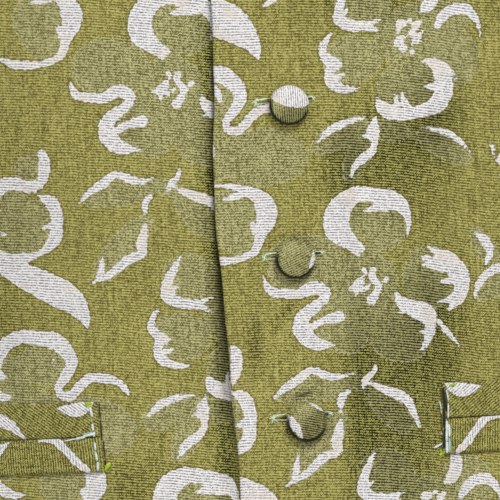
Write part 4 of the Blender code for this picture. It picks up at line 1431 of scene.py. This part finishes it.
sewing_silk = thread_finish("sewing_silk")
hand = np.random.default_rng(11)
for number, height in enumerate(BUTTON_HEIGHTS, start=1):
    shift = np.array([BUTTON_LINE * 1000, height * 1000]) + hand.normal(0, HOLE_DRIFT, 2)
    stitches = []
    for stitch in HOLE_STITCHES:
        ends = np.array([stitch.start, stitch.end]) + hand.normal(0, STITCH_DRIFT, (2, 2)) + shift
        stitches.append(stitch._replace(start=tuple(ends[0]), end=tuple(ends[1])))
    sewn(f"buttonhole_silk_{number}", left_front_surface, False, stitches, [0.0] * len(stitches))


# The pockets' stitching: blue-green stitches down both ends of the lips and along the mouth's end,
# and a lime tack at each corner. The dark shade stitches beside the lips' ends are painted shadow of
# those raised ends.
# Places are in millimetres along from the pocket's end and up from its mouth; the last is on the front.
END_STITCHES = (
    Stitch((2.2, 11.4), (1.9, 7.6), 1.00, "sea"),
    Stitch((2.0, 7.0), (1.9, 6.2), 0.50, "grey sea"),
    Stitch((1.8, 5.4), (1.6, 2.8), 0.90, "sea"),
    Stitch((1.6, 2.2), (1.3, 0.4), 0.96, "sea"),
    Stitch((1.3, -1.8), (1.2, -4.8), 0.92, "sea"),
    Stitch((1.0, -5.4), (0.7, -8.8), 1.00, "sea"),
    Stitch((0.7, -9.4), (0.5, -12.4), 0.92, "sea"),
    Stitch((1.5, -5.0), (1.2, -6.4), 0.44, "grey sea"),
    Stitch((1.2, 1.4), (5.6, 0.5), 1.00, "sea"),
    Stitch((1.6, 2.2), (6.0, 1.3), 0.60, "grey sea"),
    Stitch((4.8, 0.4), (8.8, -0.2), 0.96, "sea"),
    Stitch((8.0, -0.3), (13.0, -0.8), 0.56, "sea"),
    Stitch((1.8, 12.6), (4.4, 13.0), 1.10, "lime"),
    Stitch((2.0, 13.3), (4.0, 12.2), 1.00, "lime"),
    Stitch((1.6, 12.2), (3.4, 12.0), 0.60, "yellow"),
    Stitch((-0.5, 13.0), (-0.8, 7.0), 0.40, "shade"),
    Stitch((-0.8, 6.6), (-1.2, -1.0), 0.44, "shade"),
    Stitch((-1.2, -1.4), (-1.8, -8.2), 0.40, "shade"),
    Stitch((-1.8, -8.6), (-2.1, -11.8), 0.60, "shade"),
    Stitch((-3.5, -10.4), (-1.3, -12.6), 1.10, "lime"),
    Stitch((-2.6, -10.0), (-1.9, -12.9), 1.00, "lime"),
    Stitch((-3.6, -9.6), (-1.4, -11.0), 0.70, "yellow"),
)
# The left pocket's inner end is sewn down again with thick whitish thread. Its thick shade stitches are
# painted shadow at the lip's end.
MENDED_STITCHES = (
    Stitch((0.2, 12.0), (0.5, 4.4), 1.30, "shade"),
    Stitch((1.1, 9.6), (1.2, 3.0), 0.70, "shade"),
    Stitch((0.1, 4.6), (0.0, -3.4), 1.20, "shade"),
    Stitch((0.0, -3.6), (-0.7, -10.6), 1.20, "shade"),
    Stitch((-1.0, 6.9), (-0.3, 3.4), 0.56, "sea"),
    Stitch((-0.4, 3.4), (0.7, -0.6), 0.60, "sea"),
    Stitch((1.5, 11.0), (1.9, 6.2), 0.66, "sea"),
    Stitch((1.9, 5.8), (1.4, 0.2), 0.66, "sea"),
    Stitch((0.8, -0.6), (0.6, -4.4), 1.20, "sea"),
    Stitch((0.6, -4.2), (0.4, -8.6), 1.30, "sea"),
    Stitch((0.5, -8.4), (0.3, -12.8), 1.20, "sea"),
    Stitch((1.7, -1.6), (1.5, -7.0), 1.00, "sea"),
    Stitch((1.6, -7.2), (1.3, -12.4), 1.00, "grey sea"),
    Stitch((-1.4, -5.6), (0.6, -5.2), 0.60, "sea"),
    Stitch((-4.3, -10.4), (-0.2, -9.0), 0.90, "sea"),
    Stitch((-1.6, -11.4), (-0.4, -13.6), 0.90, "lime"),
    Stitch((-1.9, -13.4), (-0.9, -12.2), 0.70, "yellow"),
    Stitch((2.6, 12.6), (4.8, 13.0), 1.00, "lime"),
)
for side, (surface, mirrored) in fronts.items():
    stitches, base = [], []
    inner_end = MENDED_STITCHES if side == "left" else END_STITCHES
    for begin, along, sewn_end in (
        (POCKET_START * 1000, 1, inner_end), ((POCKET_START + POCKET_LENGTH) * 1000, -1, END_STITCHES),
    ):
        for stitch in sewn_end:
            ends = np.array([stitch.start, stitch.end]) * (along, 1) + hand.normal(0, END_DRIFT, (2, 2))
            ends += (begin, POCKET_MOUTH * 1000)
            if along < 0:
                ends[:, 0] = pocket_across(ends[:, 0] - begin, ends[:, 1])
            stitches.append(stitch._replace(start=tuple(ends[0]), end=tuple(ends[1])))
            base.append(0.0 if stitch.start[0] < 0 else LIP_GAP + LIP_WALL)
    sewn(f"{side}_pocket_stitching", surface, mirrored, stitches, base)
